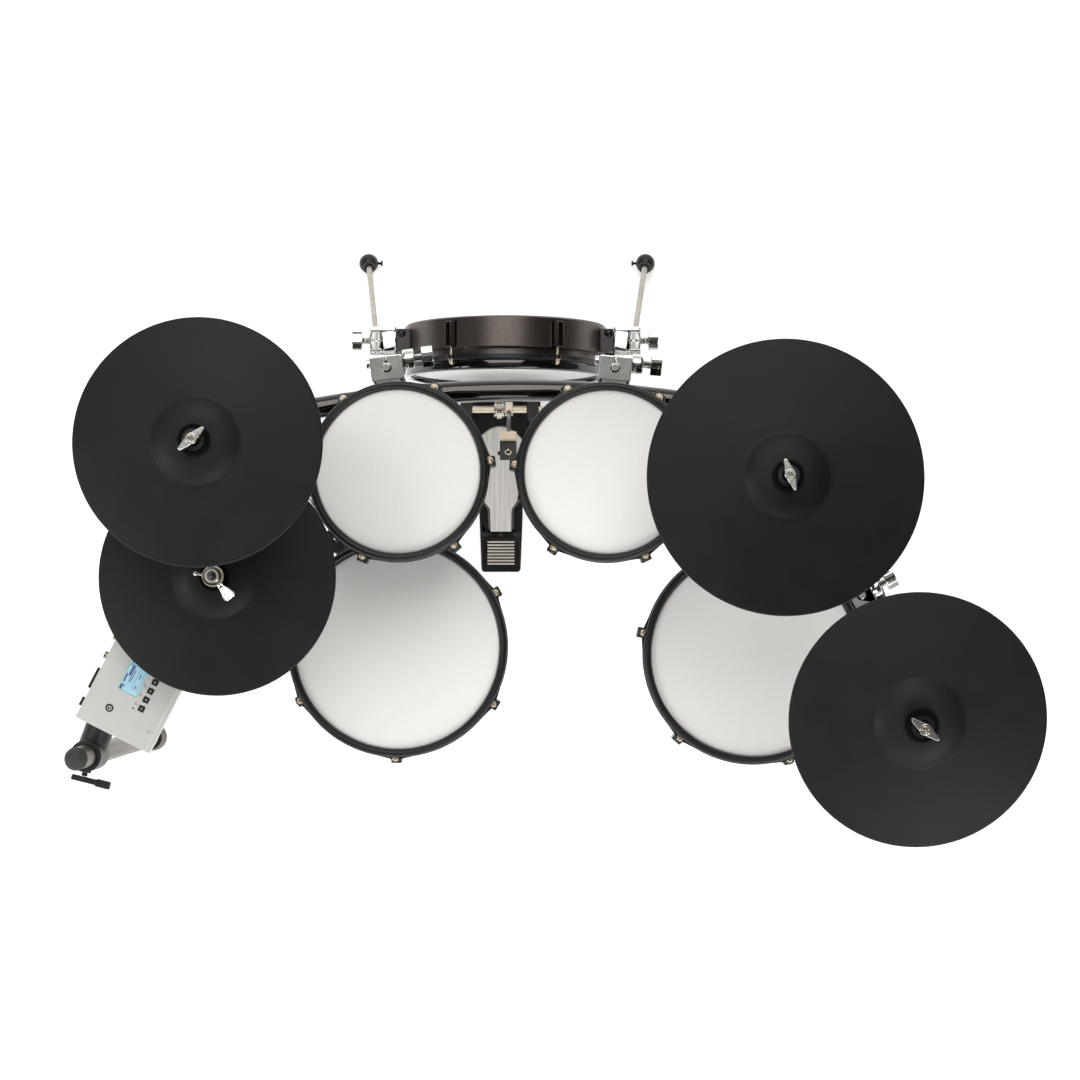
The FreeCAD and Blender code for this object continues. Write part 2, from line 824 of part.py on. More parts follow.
def profile(start, steps):
    """A closed outline in the XZ plane: a step is one point for a line or two for an arc."""
    edges = []
    here = Vector(start[0], 0, start[1])
    for step in list(steps) + [(start,)]:
        points = [Vector(point[0], 0, point[1]) for point in step]
        if len(points) == 2:
            edges.append(Part.Arc(here, points[0], points[1]).toShape())
        else:
            edges.append(Part.LineSegment(here, points[0]).toShape())
        here = points[-1]
    return Part.Face(Part.Wire(edges))


def pad_face(diameter):
    """Half section of a moulded pad: crown, bell, bowed playing face and round edge."""
    hole = pad_hole_diameter / 2
    bell = bell_diameter / 2
    edge = diameter / 2
    bell_foot = pad_crown - bell_height
    rim = bell_foot - pad_bow
    crown = bell_crown_diameter / 2
    under = pad_thickness
    mid_bell = ((crown + bell) / 2, pad_crown - bell_height * bell_bulge_share)
    mid_bow = ((bell + edge) / 2, bell_foot - pad_bow * bow_bulge_share)
    steps = [
        ((crown, pad_crown),),
        (mid_bell, (bell, bell_foot)),
        (mid_bow, (edge - edge_radius, rim)),
        ((edge, rim - edge_radius), (edge - edge_radius, rim - 2 * edge_radius)),
        ((mid_bow[0], mid_bow[1] - under), (bell, bell_foot - under)),
        ((mid_bell[0], mid_bell[1] - under), (crown, pad_crown - under)),
        ((hole, pad_crown - under),),
    ]
    return profile((hole, pad_crown), steps)


def dome_washer(centre, diameter, dome_radius, low, high):
    """A washer whose outer face is part of a sphere round the rocking centre."""
    disc = rod(centre + UP * low, centre + UP * high, diameter)
    disc = disc.common(Part.makeSphere(dome_radius, centre))
    return disc.cut(rod(centre + UP * (low - overrun), centre + UP * (high + overrun), pad_hole_diameter))


def make_pad(centre, axis, diameter, box_deg):
    """Pad, felt below, washer above and the jack housing under the bell, as one rocking set."""
    origin = Vector(0, 0, 0)
    pad = pad_face(diameter).revolve(origin, UP, 360)
    felt = dome_washer(origin, felt_diameter, felt_dome_radius, -felt_dome_radius, pad_crown - pad_thickness)
    washer = dome_washer(origin, washer_diameter, washer_dome_radius, pad_crown, washer_dome_radius)
    box_top = pad_crown - bell_height - pad_thickness
    box_centre = flat_dir(box_deg) * jack_box_radius + UP * (box_top - jack_box_height / 2)
    jack_box = block(box_centre, jack_box_length, jack_box_width, jack_box_height + bell_height, box_deg,
                     edge_radius)
    jack_box = jack_box.cut(pad_face(diameter).revolve(origin, UP, 360))
    jack_box = max(jack_box.Solids, key=lambda piece: piece.Volume)
    solids = [pad, felt, washer, jack_box]
    turn = FreeCAD.Placement(centre, FreeCAD.Rotation(UP, axis))
    for solid in solids:
        solid.Placement = turn.multiply(solid.Placement)
    return solids


def make_wing_nut(centre, axis, turn_deg):
    """A die-cast wing nut just above the upper washer."""
    across = FreeCAD.Rotation(UP, axis).multVec(flat_dir(turn_deg))
    base = centre + axis * (washer_dome_radius + run_gap)
    return [wing(base, axis, across, wing_span, wing_thickness, wing_height, nut_diameter,
                 nut_height - wing_height / 2, spindle_diameter + 2 * run_gap)]


# Drums are drawn with the head's top face at the origin and then placed

def drum_shell(outer, depth, top):
    """A shell with a bearing edge and a closed bottom."""
    inner = outer - shell_wall
    edge = outer - shell_wall / 2
    floor = bottom_thickness - depth
    return turned([(0, -depth), (outer, -depth), (outer, top - shell_wall / 2), (edge, top),
                   (inner, top - shell_wall / 2), (inner, floor), (0, floor)], Vector(0, 0, 0))


def drum_head(radius):
    """A mesh head with its skirt and flesh hoop."""
    skirt = radius - head_thickness
    low = -head_drop - flesh_hoop_height
    hoop = radius + flesh_hoop_width
    return turned([(0, -head_thickness), (skirt, -head_thickness), (skirt, low), (hoop, low),
                   (hoop, -head_drop), (radius, -head_drop), (radius, 0), (0, 0)], Vector(0, 0, 0))


def lug_dirs(first_deg):
    """Evenly spread lug directions from the first one."""
    return [flat_dir(first_deg + 360 / lug_count * number) for number in range(lug_count)]


def drum_hoop(radius, rim, lugs):
    """A counter hoop: round-topped rim, skirt, flange and one drilled ear at every lug."""
    inner = radius + fit
    outer = radius + rim
    low = rim_height - hoop_height
    shoulder = rim_height * rim_round_share
    ring = profile((inner, -head_drop), [
        ((outer - hoop_wall, -head_drop),), ((outer - hoop_wall, low),), ((outer, low),),
        ((outer, shoulder),), (((inner + outer) / 2, rim_height), (inner, shoulder)),
    ]).revolve(Vector(0, 0, 0), UP, 360)
    middle = outer + ear_reach
    core = rod(Vector(0, 0, low - overrun), Vector(0, 0, rim_height), 2 * (outer - hoop_wall / 2))
    foot = math.sqrt(outer ** 2 - ear_gusset ** 2)
    ear_half = ear_diameter / 2
    for out in lugs:
        ear = rod(out * middle + UP * low, out * middle + UP * (low + flange_height), ear_diameter)
        root = plate([(-ear_gusset, foot), (ear_gusset, foot), (ear_half, middle), (-ear_half, middle)],
                     UP * low, out, UP.cross(out), UP, flange_height)
        ring = ring.fuse(joined(ear, root).cut(core))
    ring = ring.removeSplitter()
    for out in lugs:
        hole = rod(out * middle + UP * (low - overrun), out * middle + UP * (low + flange_height + overrun),
                   tension_rod_diameter + 2 * fit)
        ring = ring.cut(hole)
    return ring


def tension_rods(middle, lugs, length):
    """Tension rods with washer and head, one through every ear."""
    seat = rim_height - hoop_height + flange_height
    head = seat + rod_washer_height
    rods = []
    for out in lugs:
        axis = out * middle
        shaft = rod(axis + UP * (seat - length), axis + UP * seat, tension_rod_diameter)
        washer = rod(axis + UP * seat, axis + UP * head, rod_washer_diameter)
        top = rod(axis + UP * head, axis + UP * (head + rod_head_height), rod_head_diameter)
        rods.append(joined(shaft, washer, top))
    return rods


def drum_lugs(outer, middle, lugs):
    """Lug casings that stand on the shell under the ears, drilled for their rods."""
    casings = []
    reach = middle + lug_width / 2
    for out in lugs:
        turn = math.degrees(math.atan2(out.y, out.x))
        centre = out * ((outer + reach) / 2 - shell_wall) + UP * (-lug_drop - lug_height / 2)
        casing = block(centre, reach - outer + 2 * shell_wall, lug_width, lug_height, turn,
                       lug_width * corner_share)
        casing = casing.cut(rod(UP * (-lug_drop - 2 * lug_height), UP * lug_drop, 2 * (outer + fit)))
        bore = rod(out * middle + UP * (-lug_drop - lug_height + shell_wall), out * middle + UP * lug_drop,
                   tension_rod_diameter + 2 * fit)
        casings.append(casing.cut(bore))
    return casings


def drum_bracket(outer, rod_radius, out, knob_side):
    """The chrome rod bracket: shell plate, neck and box, with a bolt across it or a screw from outside."""
    turn = math.degrees(math.atan2(out.y, out.x))
    across = UP.cross(out) * knob_side
    middle = UP * (-bracket_drop - bracket_height / 2)
    axis = out * rod_radius + middle
    box = block(axis, bracket_depth, bracket_width, bracket_height, turn, bracket_fillet)
    plate_mid = out * (outer + bracket_plate_thickness / 2) + middle
    plate = block(plate_mid, 2 * bracket_plate_thickness, bracket_plate_width, bracket_height, turn)
    neck_length = rod_radius - outer
    neck = block(out * ((outer + rod_radius) / 2) + middle, neck_length, bracket_width * neck_share,
                 bracket_height * neck_share, turn)
    body = joined(box, plate, neck)
    body = body.cut(rod(UP * (-bracket_drop - 2 * bracket_height), UP * bracket_drop, 2 * (outer + fit)))
    half = UP * bracket_height
    body = body.cut(rod(axis - half, axis + half, drum_rod_diameter + 2 * run_gap))
    if knob_side == 0:
        face = axis + out * (bracket_depth / 2)
        tip = axis + out * (drum_rod_radius + 2 * run_gap)
        body = body.cut(rod(axis, face + out * overrun, bolt_diameter + 2 * fit))
        return [body, joined(rod(tip, face, bolt_diameter), wing_knob(face, out, UP.cross(out), bolt_reach))]
    slot = block(axis + out * (bracket_depth / 2), bracket_depth, wing_thickness * slot_share,
                 2 * bracket_height, turn)
    body = body.cut(slot)
    bolt_mid = axis + out * bolt_setback
    nut_face = bolt_mid - across * (bracket_width / 2)
    knob_face = bolt_mid + across * (bracket_width / 2)
    body = body.cut(rod(nut_face - across * overrun, knob_face + across * overrun, bolt_diameter + 2 * fit))
    nut = tube(nut_face - across * bolt_nut_height, nut_face, bolt_nut_diameter, bolt_diameter + 2 * fit)
    shaft = rod(nut_face - across * bolt_nut_height, knob_face, bolt_diameter)
    bolt = joined(shaft, wing_knob(knob_face, across, out, bolt_reach))
    return [body, nut, bolt]


def drum_trigger(inner, head_diameter):
    """A sensor bar across the shell with a foam cone that reaches up to the head."""
    half = math.sqrt(inner ** 2 - (trigger_bar_width / 2) ** 2) - fit
    bar = block(UP * -trigger_bar_drop, 2 * half, trigger_bar_width, trigger_bar_thickness)
    low = trigger_bar_thickness / 2 - trigger_bar_drop
    high = -head_thickness - run_gap
    share = head_diameter / tom_head_diameter
    cone = Part.makeCone(cone_base_diameter * share / 2, cone_tip_diameter * share / 2, high - low, UP * low)
    return [bar, cone]


def make_drum(name, place, head_diameter, depth, bracket_deg, lead_deg, knob_side):
    radius = head_diameter / 2
    outer = radius - shell_step
    middle = radius + rim_width + ear_reach
    lugs = lug_dirs(bracket_deg + lead_deg)
    rod_radius = radius + rim_width + rod_offset
    sets = {
        "shell": [drum_shell(outer, depth, -head_thickness)] + drum_lugs(outer, middle, lugs),
        "head": [drum_head(radius)],
        "hoop": [drum_hoop(radius, rim_width, lugs)],
        "fittings": (tension_rods(middle, lugs, lug_drop)
                     + drum_bracket(outer, rod_radius, flat_dir(bracket_deg), knob_side)),
        "trigger": drum_trigger(outer - shell_wall, head_diameter),
    }
    for piece, solids in sets.items():
        for solid in solids:
            solid.translate(place)
        nodes[name + "_" + piece] = solids


# Kick drum: drawn like the others, then stood on its edge with the struck face towards the drummer

kick_turn = FreeCAD.Placement(kick_place, FreeCAD.Rotation(RIGHT, 90))
kick_radius = kick_diameter / 2
kick_head_radius = kick_radius - rim_width
kick_rod_radius = kick_radius + ear_reach
kick_lugs = [flat_dir(360 / lug_count * number) for number in range(lug_count)]
kick_lug_floor = kick_head_radius - shell_step + shell_wall
kick_lug_end = kick_depth - kick_lug_margin


def kick_shell():
    """A stepped shell with a closed front and a slot for every lug."""
    outer = kick_head_radius - shell_step
    inner = outer - shell_wall
    top = -head_thickness
    shell = turned([(0, -kick_depth), (kick_radius - bracket_fillet, -kick_depth),
                    (kick_radius, bracket_fillet - kick_depth), (kick_radius, -kick_step),
                    (outer, -kick_step), (outer, top - shell_wall / 2), (outer - shell_wall / 2, top),
                    (inner, top - shell_wall / 2),
                    (inner, bottom_thickness - kick_depth), (0, bottom_thickness - kick_depth)],
                   Vector(0, 0, 0))
    for out in kick_lugs:
        turn = math.degrees(math.atan2(out.y, out.x))
        low = -kick_lug_end - fit
        middle = out * (kick_lug_floor + kick_radius) + UP * (low / 2)
        shell = shell.cut(block(middle, 2 * kick_radius, kick_lug_width + 2 * fit, -low, turn))
    return shell


def kick_lug(out):
    """A wedge-shaped lug in its slot, deepest where the tension rod enters it."""
    side = UP.cross(out)
    reach = kick_rod_radius + kick_lug_width / 2
    corners = [(kick_lug_floor, -kick_step), (reach, -kick_step), (reach, -kick_step - kick_lug_width),
               (kick_radius + fit, -kick_lug_end), (kick_lug_floor, -kick_lug_end)]
    points = [out * radius + UP * height - side * (kick_lug_width / 2) for radius, height in corners]
    lug = Part.Face(Part.makePolygon(points + points[:1])).extrude(side * kick_lug_width)
    axis = out * kick_rod_radius
    return lug.cut(rod(axis - UP * (kick_step + kick_lug_width), axis, tension_rod_diameter + 2 * fit))


def make_kick():
    rod_length = kick_step + kick_lug_width * corner_share - hoop_height + rim_height + flange_height
    sets = {
        "kick_shell": [kick_shell()] + [kick_lug(out) for out in kick_lugs],
        "kick_head": [drum_head(kick_head_radius)],
        "kick_hoop": [drum_hoop(kick_head_radius, rim_width, kick_lugs)],
        "kick_rods": tension_rods(kick_rod_radius, kick_lugs, rod_length),
        "kick_trigger": drum_trigger(kick_head_radius - shell_step - shell_wall, 2 * kick_head_radius),
    }
    for name, solids in sets.items():
        for solid in solids:
            solid.Placement = kick_turn.multiply(solid.Placement)
        nodes[name] = solids


# Kick spurs, drawn on the left and mirrored to the right

spur_pivot = Vector(kick_place.x - kick_radius - spur_mount_width, kick_place.y + spur_setback,
                    kick_place.z + spur_rise)


def spur_mount():
    """The dark mount on the shell with its pivot stud."""
    centre = spur_pivot + RIGHT * spur_mount_width
    mount = block(centre, 2 * spur_mount_width, spur_block_length * mount_share, spur_block_height, 0,
                  bracket_fillet)
    front = Vector(kick_place.x, kick_place.y - overrun, kick_place.z)
    mount = mount.cut(rod(front, front + AHEAD * (2 * kick_depth), kick_diameter + 2 * fit))
    stud = rod(spur_pivot - RIGHT * spur_stud_reach, spur_pivot, spur_stud_diameter)
    return joined(mount, stud)


def spur_set():
    """The chrome block on its stud, the wing bolt, the leg and its rubber ball."""
    face = spur_pivot - RIGHT * run_gap
    middle = face - RIGHT * (spur_block_width / 2)
    body = block(middle, spur_block_width, spur_block_length, spur_block_height, 0, bracket_fillet)
    stud_room = RIGHT * (spur_stud_reach + run_gap)
    body = body.cut(rod(spur_pivot - stud_room, spur_pivot, spur_stud_diameter + 2 * run_gap))
    start = face - RIGHT * spur_leg_setback
    ball_centre = Vector(spur_pivot.x - spur_spread, spur_pivot.y + spur_reach, ball_diameter / 2 - ball_flat)
    along = (ball_centre - start).normalize()
    leg_end = ball_centre - along * (ball_diameter * leg_depth_share)
    leg = rod(start, leg_end, spur_leg_diameter)
    room = rod(start, leg_end, spur_leg_diameter + 2 * fit)
    body = body.cut(room)
    ball = Part.makeSphere(ball_diameter / 2, ball_centre)
    floor = block(at_height(ball_centre, -ball_diameter / 2), ball_diameter, ball_diameter, ball_diameter)
    collar = rod(leg_end, ball_centre - along * (ball_diameter * collar_share), ball_diameter * collar_share)
    ball = joined(ball, collar).cut(floor).cut(room)
    screw = wing(ball_centre - RIGHT * (ball_diameter / 2 - overrun / 2), -RIGHT, AHEAD, wing_tip_diameter,
                 wing_thickness * slot_share, wing_tip_diameter / 2, wing_thickness, wing_thickness)
    ball = ball.cut(rod(ball_centre - RIGHT * (ball_diameter / 2 - overrun / 2),
                        ball_centre - RIGHT * ball_diameter, wing_thickness + 2 * fit))
    outer = face - RIGHT * spur_block_width
    bolt = wing_knob(outer, -RIGHT, AHEAD, spur_bolt_reach)
    return [body, leg, ball, screw, bolt]


def mirrored(solids, x):
    """The same pieces on the other side of an upright plane at X."""
    return [solid.mirror(Vector(x, 0, 0), RIGHT) for solid in solids]


def make_spurs():
    mount = spur_mount()
    left = spur_set()
    nodes["spur_mounts"] = [mount] + mirrored([mount], kick_place.x)
    nodes["spur_left"] = left
    nodes["spur_right"] = mirrored(left, kick_place.x)


# Kick pedal

axle_place = Vector(pedal_x, axle_y, axle_height)
heel_hinge = Vector(pedal_x, heel_hinge_y, heel_hinge_height)
board_along = Vector(0, math.cos(math.radians(board_slope_deg)), math.sin(math.radians(board_slope_deg)))
board_up = Vector(0, -board_along.z, board_along.y)
beater_along = Vector(0, -math.sin(math.radians(beater_back_deg)), math.cos(math.radians(beater_back_deg)))
beater_ahead = Vector(0, beater_along.z, -beater_along.y)
beater_hub = axle_place + RIGHT * beater_offset
chain_radius = cam_diameter / 2 + chain_height / 2 + run_gap
chain_run_y = axle_y + chain_radius
hook_top = heel_hinge + board_along * (board_length - 2 * board_peak) + board_up * (board_thickness / 2)


def plate(corners, base, along, across, up, thickness):
    """A flat plate from (across, along) corners, extruded by its thickness."""
    points = [base + across * a + along * b for a, b in corners]
    return Part.Face(Part.makePolygon(points + points[:1])).extrude(up * thickness)


def make_pedal_frame():
    """Base plate, two uprights with bearing holes, and the jaw that grips the kick's hoop."""
    half = base_width / 2
    neck = base_neck_width / 2
    heel_y = heel_hinge.y - heel_plate_length
    heel = base_heel_width / 2
    right = [(heel, heel_y), (neck, base_neck_y), (neck, base_wide_y), (half, base_wide_y + half - neck),
             (half, base_front_y - base_corner), (half - base_corner, base_front_y)]
    left = [(-across, along) for across, along in reversed(right)]
    base = plate(right + left, Vector(pedal_x, 0, 0), AHEAD, RIGHT, UP, base_thickness)
    reach = RIGHT * (axle_length / 2 + upright_width + overrun)
    bearing = rod(axle_place - reach, axle_place + reach, journal_diameter + 2 * run_gap)
    uprights = []
    for side in (-1, 1):
        x = pedal_x + side * (axle_length / 2 + upright_width / 2)
        top = axle_height + upright_cap
        foot = Vector(x, axle_y, (base_thickness + top) / 2)
        upright = block(foot, upright_width, upright_length, top - base_thickness, 0, bracket_fillet)
        uprights.append(upright.cut(bearing))
    jaw_high = kick_place.z - kick_radius - run_gap
    jaw_low_y = base_front_y - jaw_length / 2
    jaw_high_y = kick_place.y - rim_height + hoop_height
    jaw = block(Vector(pedal_x, (jaw_low_y + jaw_high_y) / 2, (base_thickness + jaw_high) / 2), jaw_width,
                jaw_high_y - jaw_low_y, jaw_high - base_thickness, 0, bracket_fillet)
    return [base] + uprights + [jaw]


def make_heel_plate():
    """The heel plate with its raised grip bars and the knuckles of the heel hinge."""
    middle = Vector(pedal_x, heel_hinge.y - heel_plate_length / 2, base_thickness + heel_plate_height / 2)
    body = block(middle, heel_plate_width, heel_plate_length, heel_plate_height, 0, heel_corner)
    hinge_room = rod(heel_hinge - RIGHT * heel_plate_width, heel_hinge + RIGHT * heel_plate_width,
                     knuckle_diameter + 2 * run_gap)
    body = body.cut(hinge_room)
    knuckles = []
    outer = heel_plate_width / 2
    inner = outer - knuckle_width
    for side in (-1, 1):
        knuckle = tube(heel_hinge + RIGHT * (side * inner), heel_hinge + RIGHT * (side * outer),
                       knuckle_diameter, pin_diameter + 2 * fit)
        foot = block(heel_hinge + RIGHT * (side * (inner + outer) / 2) - AHEAD * (knuckle_diameter / 2),
                     knuckle_width, knuckle_diameter, pin_diameter)
        foot = foot.cut(rod(heel_hinge - RIGHT * outer, heel_hinge + RIGHT * outer, pin_diameter + 2 * fit))
        knuckles += [knuckle, foot]
    body = joined(body, *knuckles)
    pin = rod(heel_hinge - RIGHT * outer, heel_hinge + RIGHT * outer, pin_diameter)
    top = base_thickness + heel_plate_height
    pitch = grip_area_length / grip_bar_count
    first = middle.y - grip_area_length / 2 + pitch / 2
    bars = [block(Vector(pedal_x, first + pitch * number, top + grip_bar_height / 2), grip_bar_width,
                  pitch * grip_bar_share, grip_bar_height) for number in range(grip_bar_count)]
    return [body, pin] + bars


def make_footboard():
    """The sloping board with a peaked toe, its rubber edges, hinge knuckle and chain hook."""
    heel = board_heel_width / 2
    toe = board_toe_width / 2
    wide = board_length * board_wide_share
    narrow = board_length * board_narrow_share
    shoulder = board_length - board_peak
    mid = board_mid_width / 2
    waist = board_length * board_mid_share
    right = [(heel, 0), (heel, narrow), (mid, waist), (toe, wide), (toe, shoulder)]
    left = [(-across, along) for across, along in reversed(right)]
    outline = right + [(0, board_length)] + left
    board = plate(outline, heel_hinge, board_along, RIGHT, board_up, board_thickness)
    knuckle = rod(heel_hinge - RIGHT * heel, heel_hinge + RIGHT * heel, knuckle_diameter)
    hook_end = Vector(pedal_x, chain_run_y + hook_width / 2, hook_top.z)
    corners = [hook_top, hook_end, hook_end - UP * board_thickness, hook_top - UP * board_thickness]
    corners = [corner - RIGHT * (hook_width / 2) for corner in corners]
    hook = Part.Face(Part.makePolygon(corners + corners[:1])).extrude(RIGHT * hook_width)
    board = joined(board, knuckle, hook)
    board = board.cut(rod(heel_hinge - RIGHT * toe, heel_hinge + RIGHT * toe, pin_diameter + 2 * run_gap))
    strips = []
    for side in (-1, 1):
        edge = [(heel, knuckle_diameter), (heel + strip_width, knuckle_diameter),
                (heel + strip_width, narrow), (mid, waist), (heel, narrow)]
        strips.append(plate([(a * side, b) for a, b in edge], heel_hinge, board_along, RIGHT, board_up,
                            board_thickness))
    return [board] + strips


def make_axle():
    """Hex axle with round journals, the chain cam, the beater hub and the spring crank."""
    half = axle_length / 2 - run_gap
    corner = axle_flats / math.sqrt(3)
    points = [axle_place - RIGHT * half + Vector(0, corner * math.cos(math.radians(60 * n)),
                                                 corner * math.sin(math.radians(60 * n))) for n in range(6)]
    shaft = Part.Face(Part.makePolygon(points + points[:1])).extrude(RIGHT * (2 * half))
    reach = axle_length / 2 + upright_width + run_gap
    journal = rod(axle_place - RIGHT * reach, axle_place + RIGHT * (reach + crank_width), journal_diameter)
    cam = rod(axle_place - RIGHT * (cam_width / 2), axle_place + RIGHT * (cam_width / 2), cam_diameter)
    hub = block(beater_hub, hub_width, hub_length, hub_length, 0)
    crank_base = axle_place + RIGHT * (reach + crank_width / 2)
    crank = block(crank_base - AHEAD * (crank_reach / 2), crank_width, crank_reach + journal_diameter,
                  journal_diameter + overrun)
    axle = joined(shaft, journal, cam, crank)
    hub = hub.cut(axle)
    rod_room = rod(beater_hub, beater_hub + beater_along * beater_radius, beater_rod_diameter + 2 * fit)
    hub = hub.cut(rod_room)
    return [axle, hub]


def make_beater():
    """The beater rod, the block on it and the felt that strikes the head."""
    end = beater_hub + beater_along * beater_radius
    hub_top = beater_hub + beater_along * (axle_flats / math.sqrt(3) + fit)
    stick = rod(hub_top, end + beater_along * (beater_length / 2), beater_rod_diameter)
    body_mid = end - beater_ahead * (felt_thickness / 2)
    turn = FreeCAD.Placement(Vector(0, 0, 0), FreeCAD.Rotation(RIGHT, beater_back_deg))
    body = block(Vector(0, 0, 0), beater_width, beater_depth - felt_thickness, beater_length)
    body.Placement = turn
    body.translate(body_mid)
    body = body.cut(rod(hub_top, end + beater_along * beater_length, beater_rod_diameter + 2 * fit))
    felt = block(Vector(0, 0, 0), beater_width, felt_thickness, beater_length)
    felt.Placement = turn
    felt.translate(end + beater_ahead * (beater_depth / 2 - felt_thickness / 2))
    return [stick, body, felt]


def make_chain():
    """A roller chain that wraps the cam's far side and hangs to the footboard's hook."""
    wraps = [math.radians(angle) for angle in chain_wrap_degs]
    stations = [axle_place + Vector(0, math.cos(wrap), math.sin(wrap)) * chain_radius for wrap in wraps]
    drop = axle_place.z - hook_top.z - chain_height / 2 - fit
    count = round(drop / chain_pitch)
    step = drop / count
    stations += [Vector(pedal_x, chain_run_y, axle_place.z - step * (number + 1)) for number in range(count)]
    side = RIGHT * (chain_width / 2)
    chain = [rod(station - side, station + side, chain_height * roller_share) for station in stations]
    for number, (low, high) in enumerate(zip(stations, stations[1:])):
        along = (high - low).normalize()
        inset = chain_plate * (number % 2)
        for sign in (-1, 1):
            near = RIGHT * (sign * (chain_width / 2 - inset))
            far = RIGHT * (sign * (chain_width / 2 - inset - chain_plate))
            chain += [rod(point + near, point + far, chain_height) for point in (low, high)]
            span = (high - low).Length
            half = chain_height / 2
            corners = [(-half, 0), (half, 0), (half, span), (-half, span)]
            chain.append(plate(corners, low + far, along, along.cross(RIGHT), RIGHT * sign, chain_plate))
    return [joined(*chain)]


def arc_between(start, start_along, end, end_along):
    """Two arcs that leave one point and reach another along given directions."""
    chord = start - end
    both = start_along + end_along
    square = both.dot(both) - 4
    reach = (chord.dot(both) + math.sqrt(chord.dot(both) ** 2 - square * chord.dot(chord))) / -square
    first = start + start_along * reach
    last = end - end_along * reach
    joint = (first + last) / 2
    edges = []
    for near, along, far in ((start, start_along, joint), (joint, last - joint, end)):
        along = Vector(along).normalize()
        run = far - near
        square_run = run - along * run.dot(along)
        bend = run.dot(run) / (2 * square_run.Length)
        hub = near + square_run.normalize() * bend
        middle = hub + ((near + far) / 2 - hub).normalize() * bend
        edges.append(Part.Arc(near, middle, far).toShape())
    return edges


def coil(base, top, wire, diameter, turns):
    """An unbroken wire wound round an upright axis, in two arcs for every quarter turn."""
    radius = (diameter - wire) / 2
    rise = (top - base).Length / turns
    slope = rise / (2 * math.pi * radius)

    def station(number):
        angle = number * math.pi / 2
        place = base + Vector(radius * math.cos(angle), radius * math.sin(angle), rise * number / 4)
        return place, Vector(-math.sin(angle), math.cos(angle), slope).normalize()

    edges = []
    for number in range(4 * turns):
        edges += arc_between(*station(number), *station(number + 1))
    section = Part.Wire(Part.makeCircle(wire / 2, *station(0)))
    print("spring gap between turns", round(rise * math.cos(math.atan(slope)) - wire, 2), "mm")
    return Part.Wire(edges).makePipeShell([section], True, False)


def make_spring():
    """The pedal's return spring, from the base up to the crank."""
    x = pedal_x + axle_length / 2 + upright_width + 2 * run_gap + crank_width / 2
    y = axle_y - crank_reach
    low = Vector(x, y, base_thickness + spring_post_height)
    high = Vector(x, y, axle_height - journal_diameter - spring_wire)
    return [coil(low, high, spring_wire, spring_diameter, spring_turns)]


# Hi-hat on its own stand

hihat_base = at_height(hihat_place, 0)
pedal_dir = flat_dir(hihat_pedal_deg)
pedal_side = UP.cross(pedal_dir)
hihat_hinge = hihat_base + pedal_dir * hihat_pedal_length + UP * hihat_hinge_height


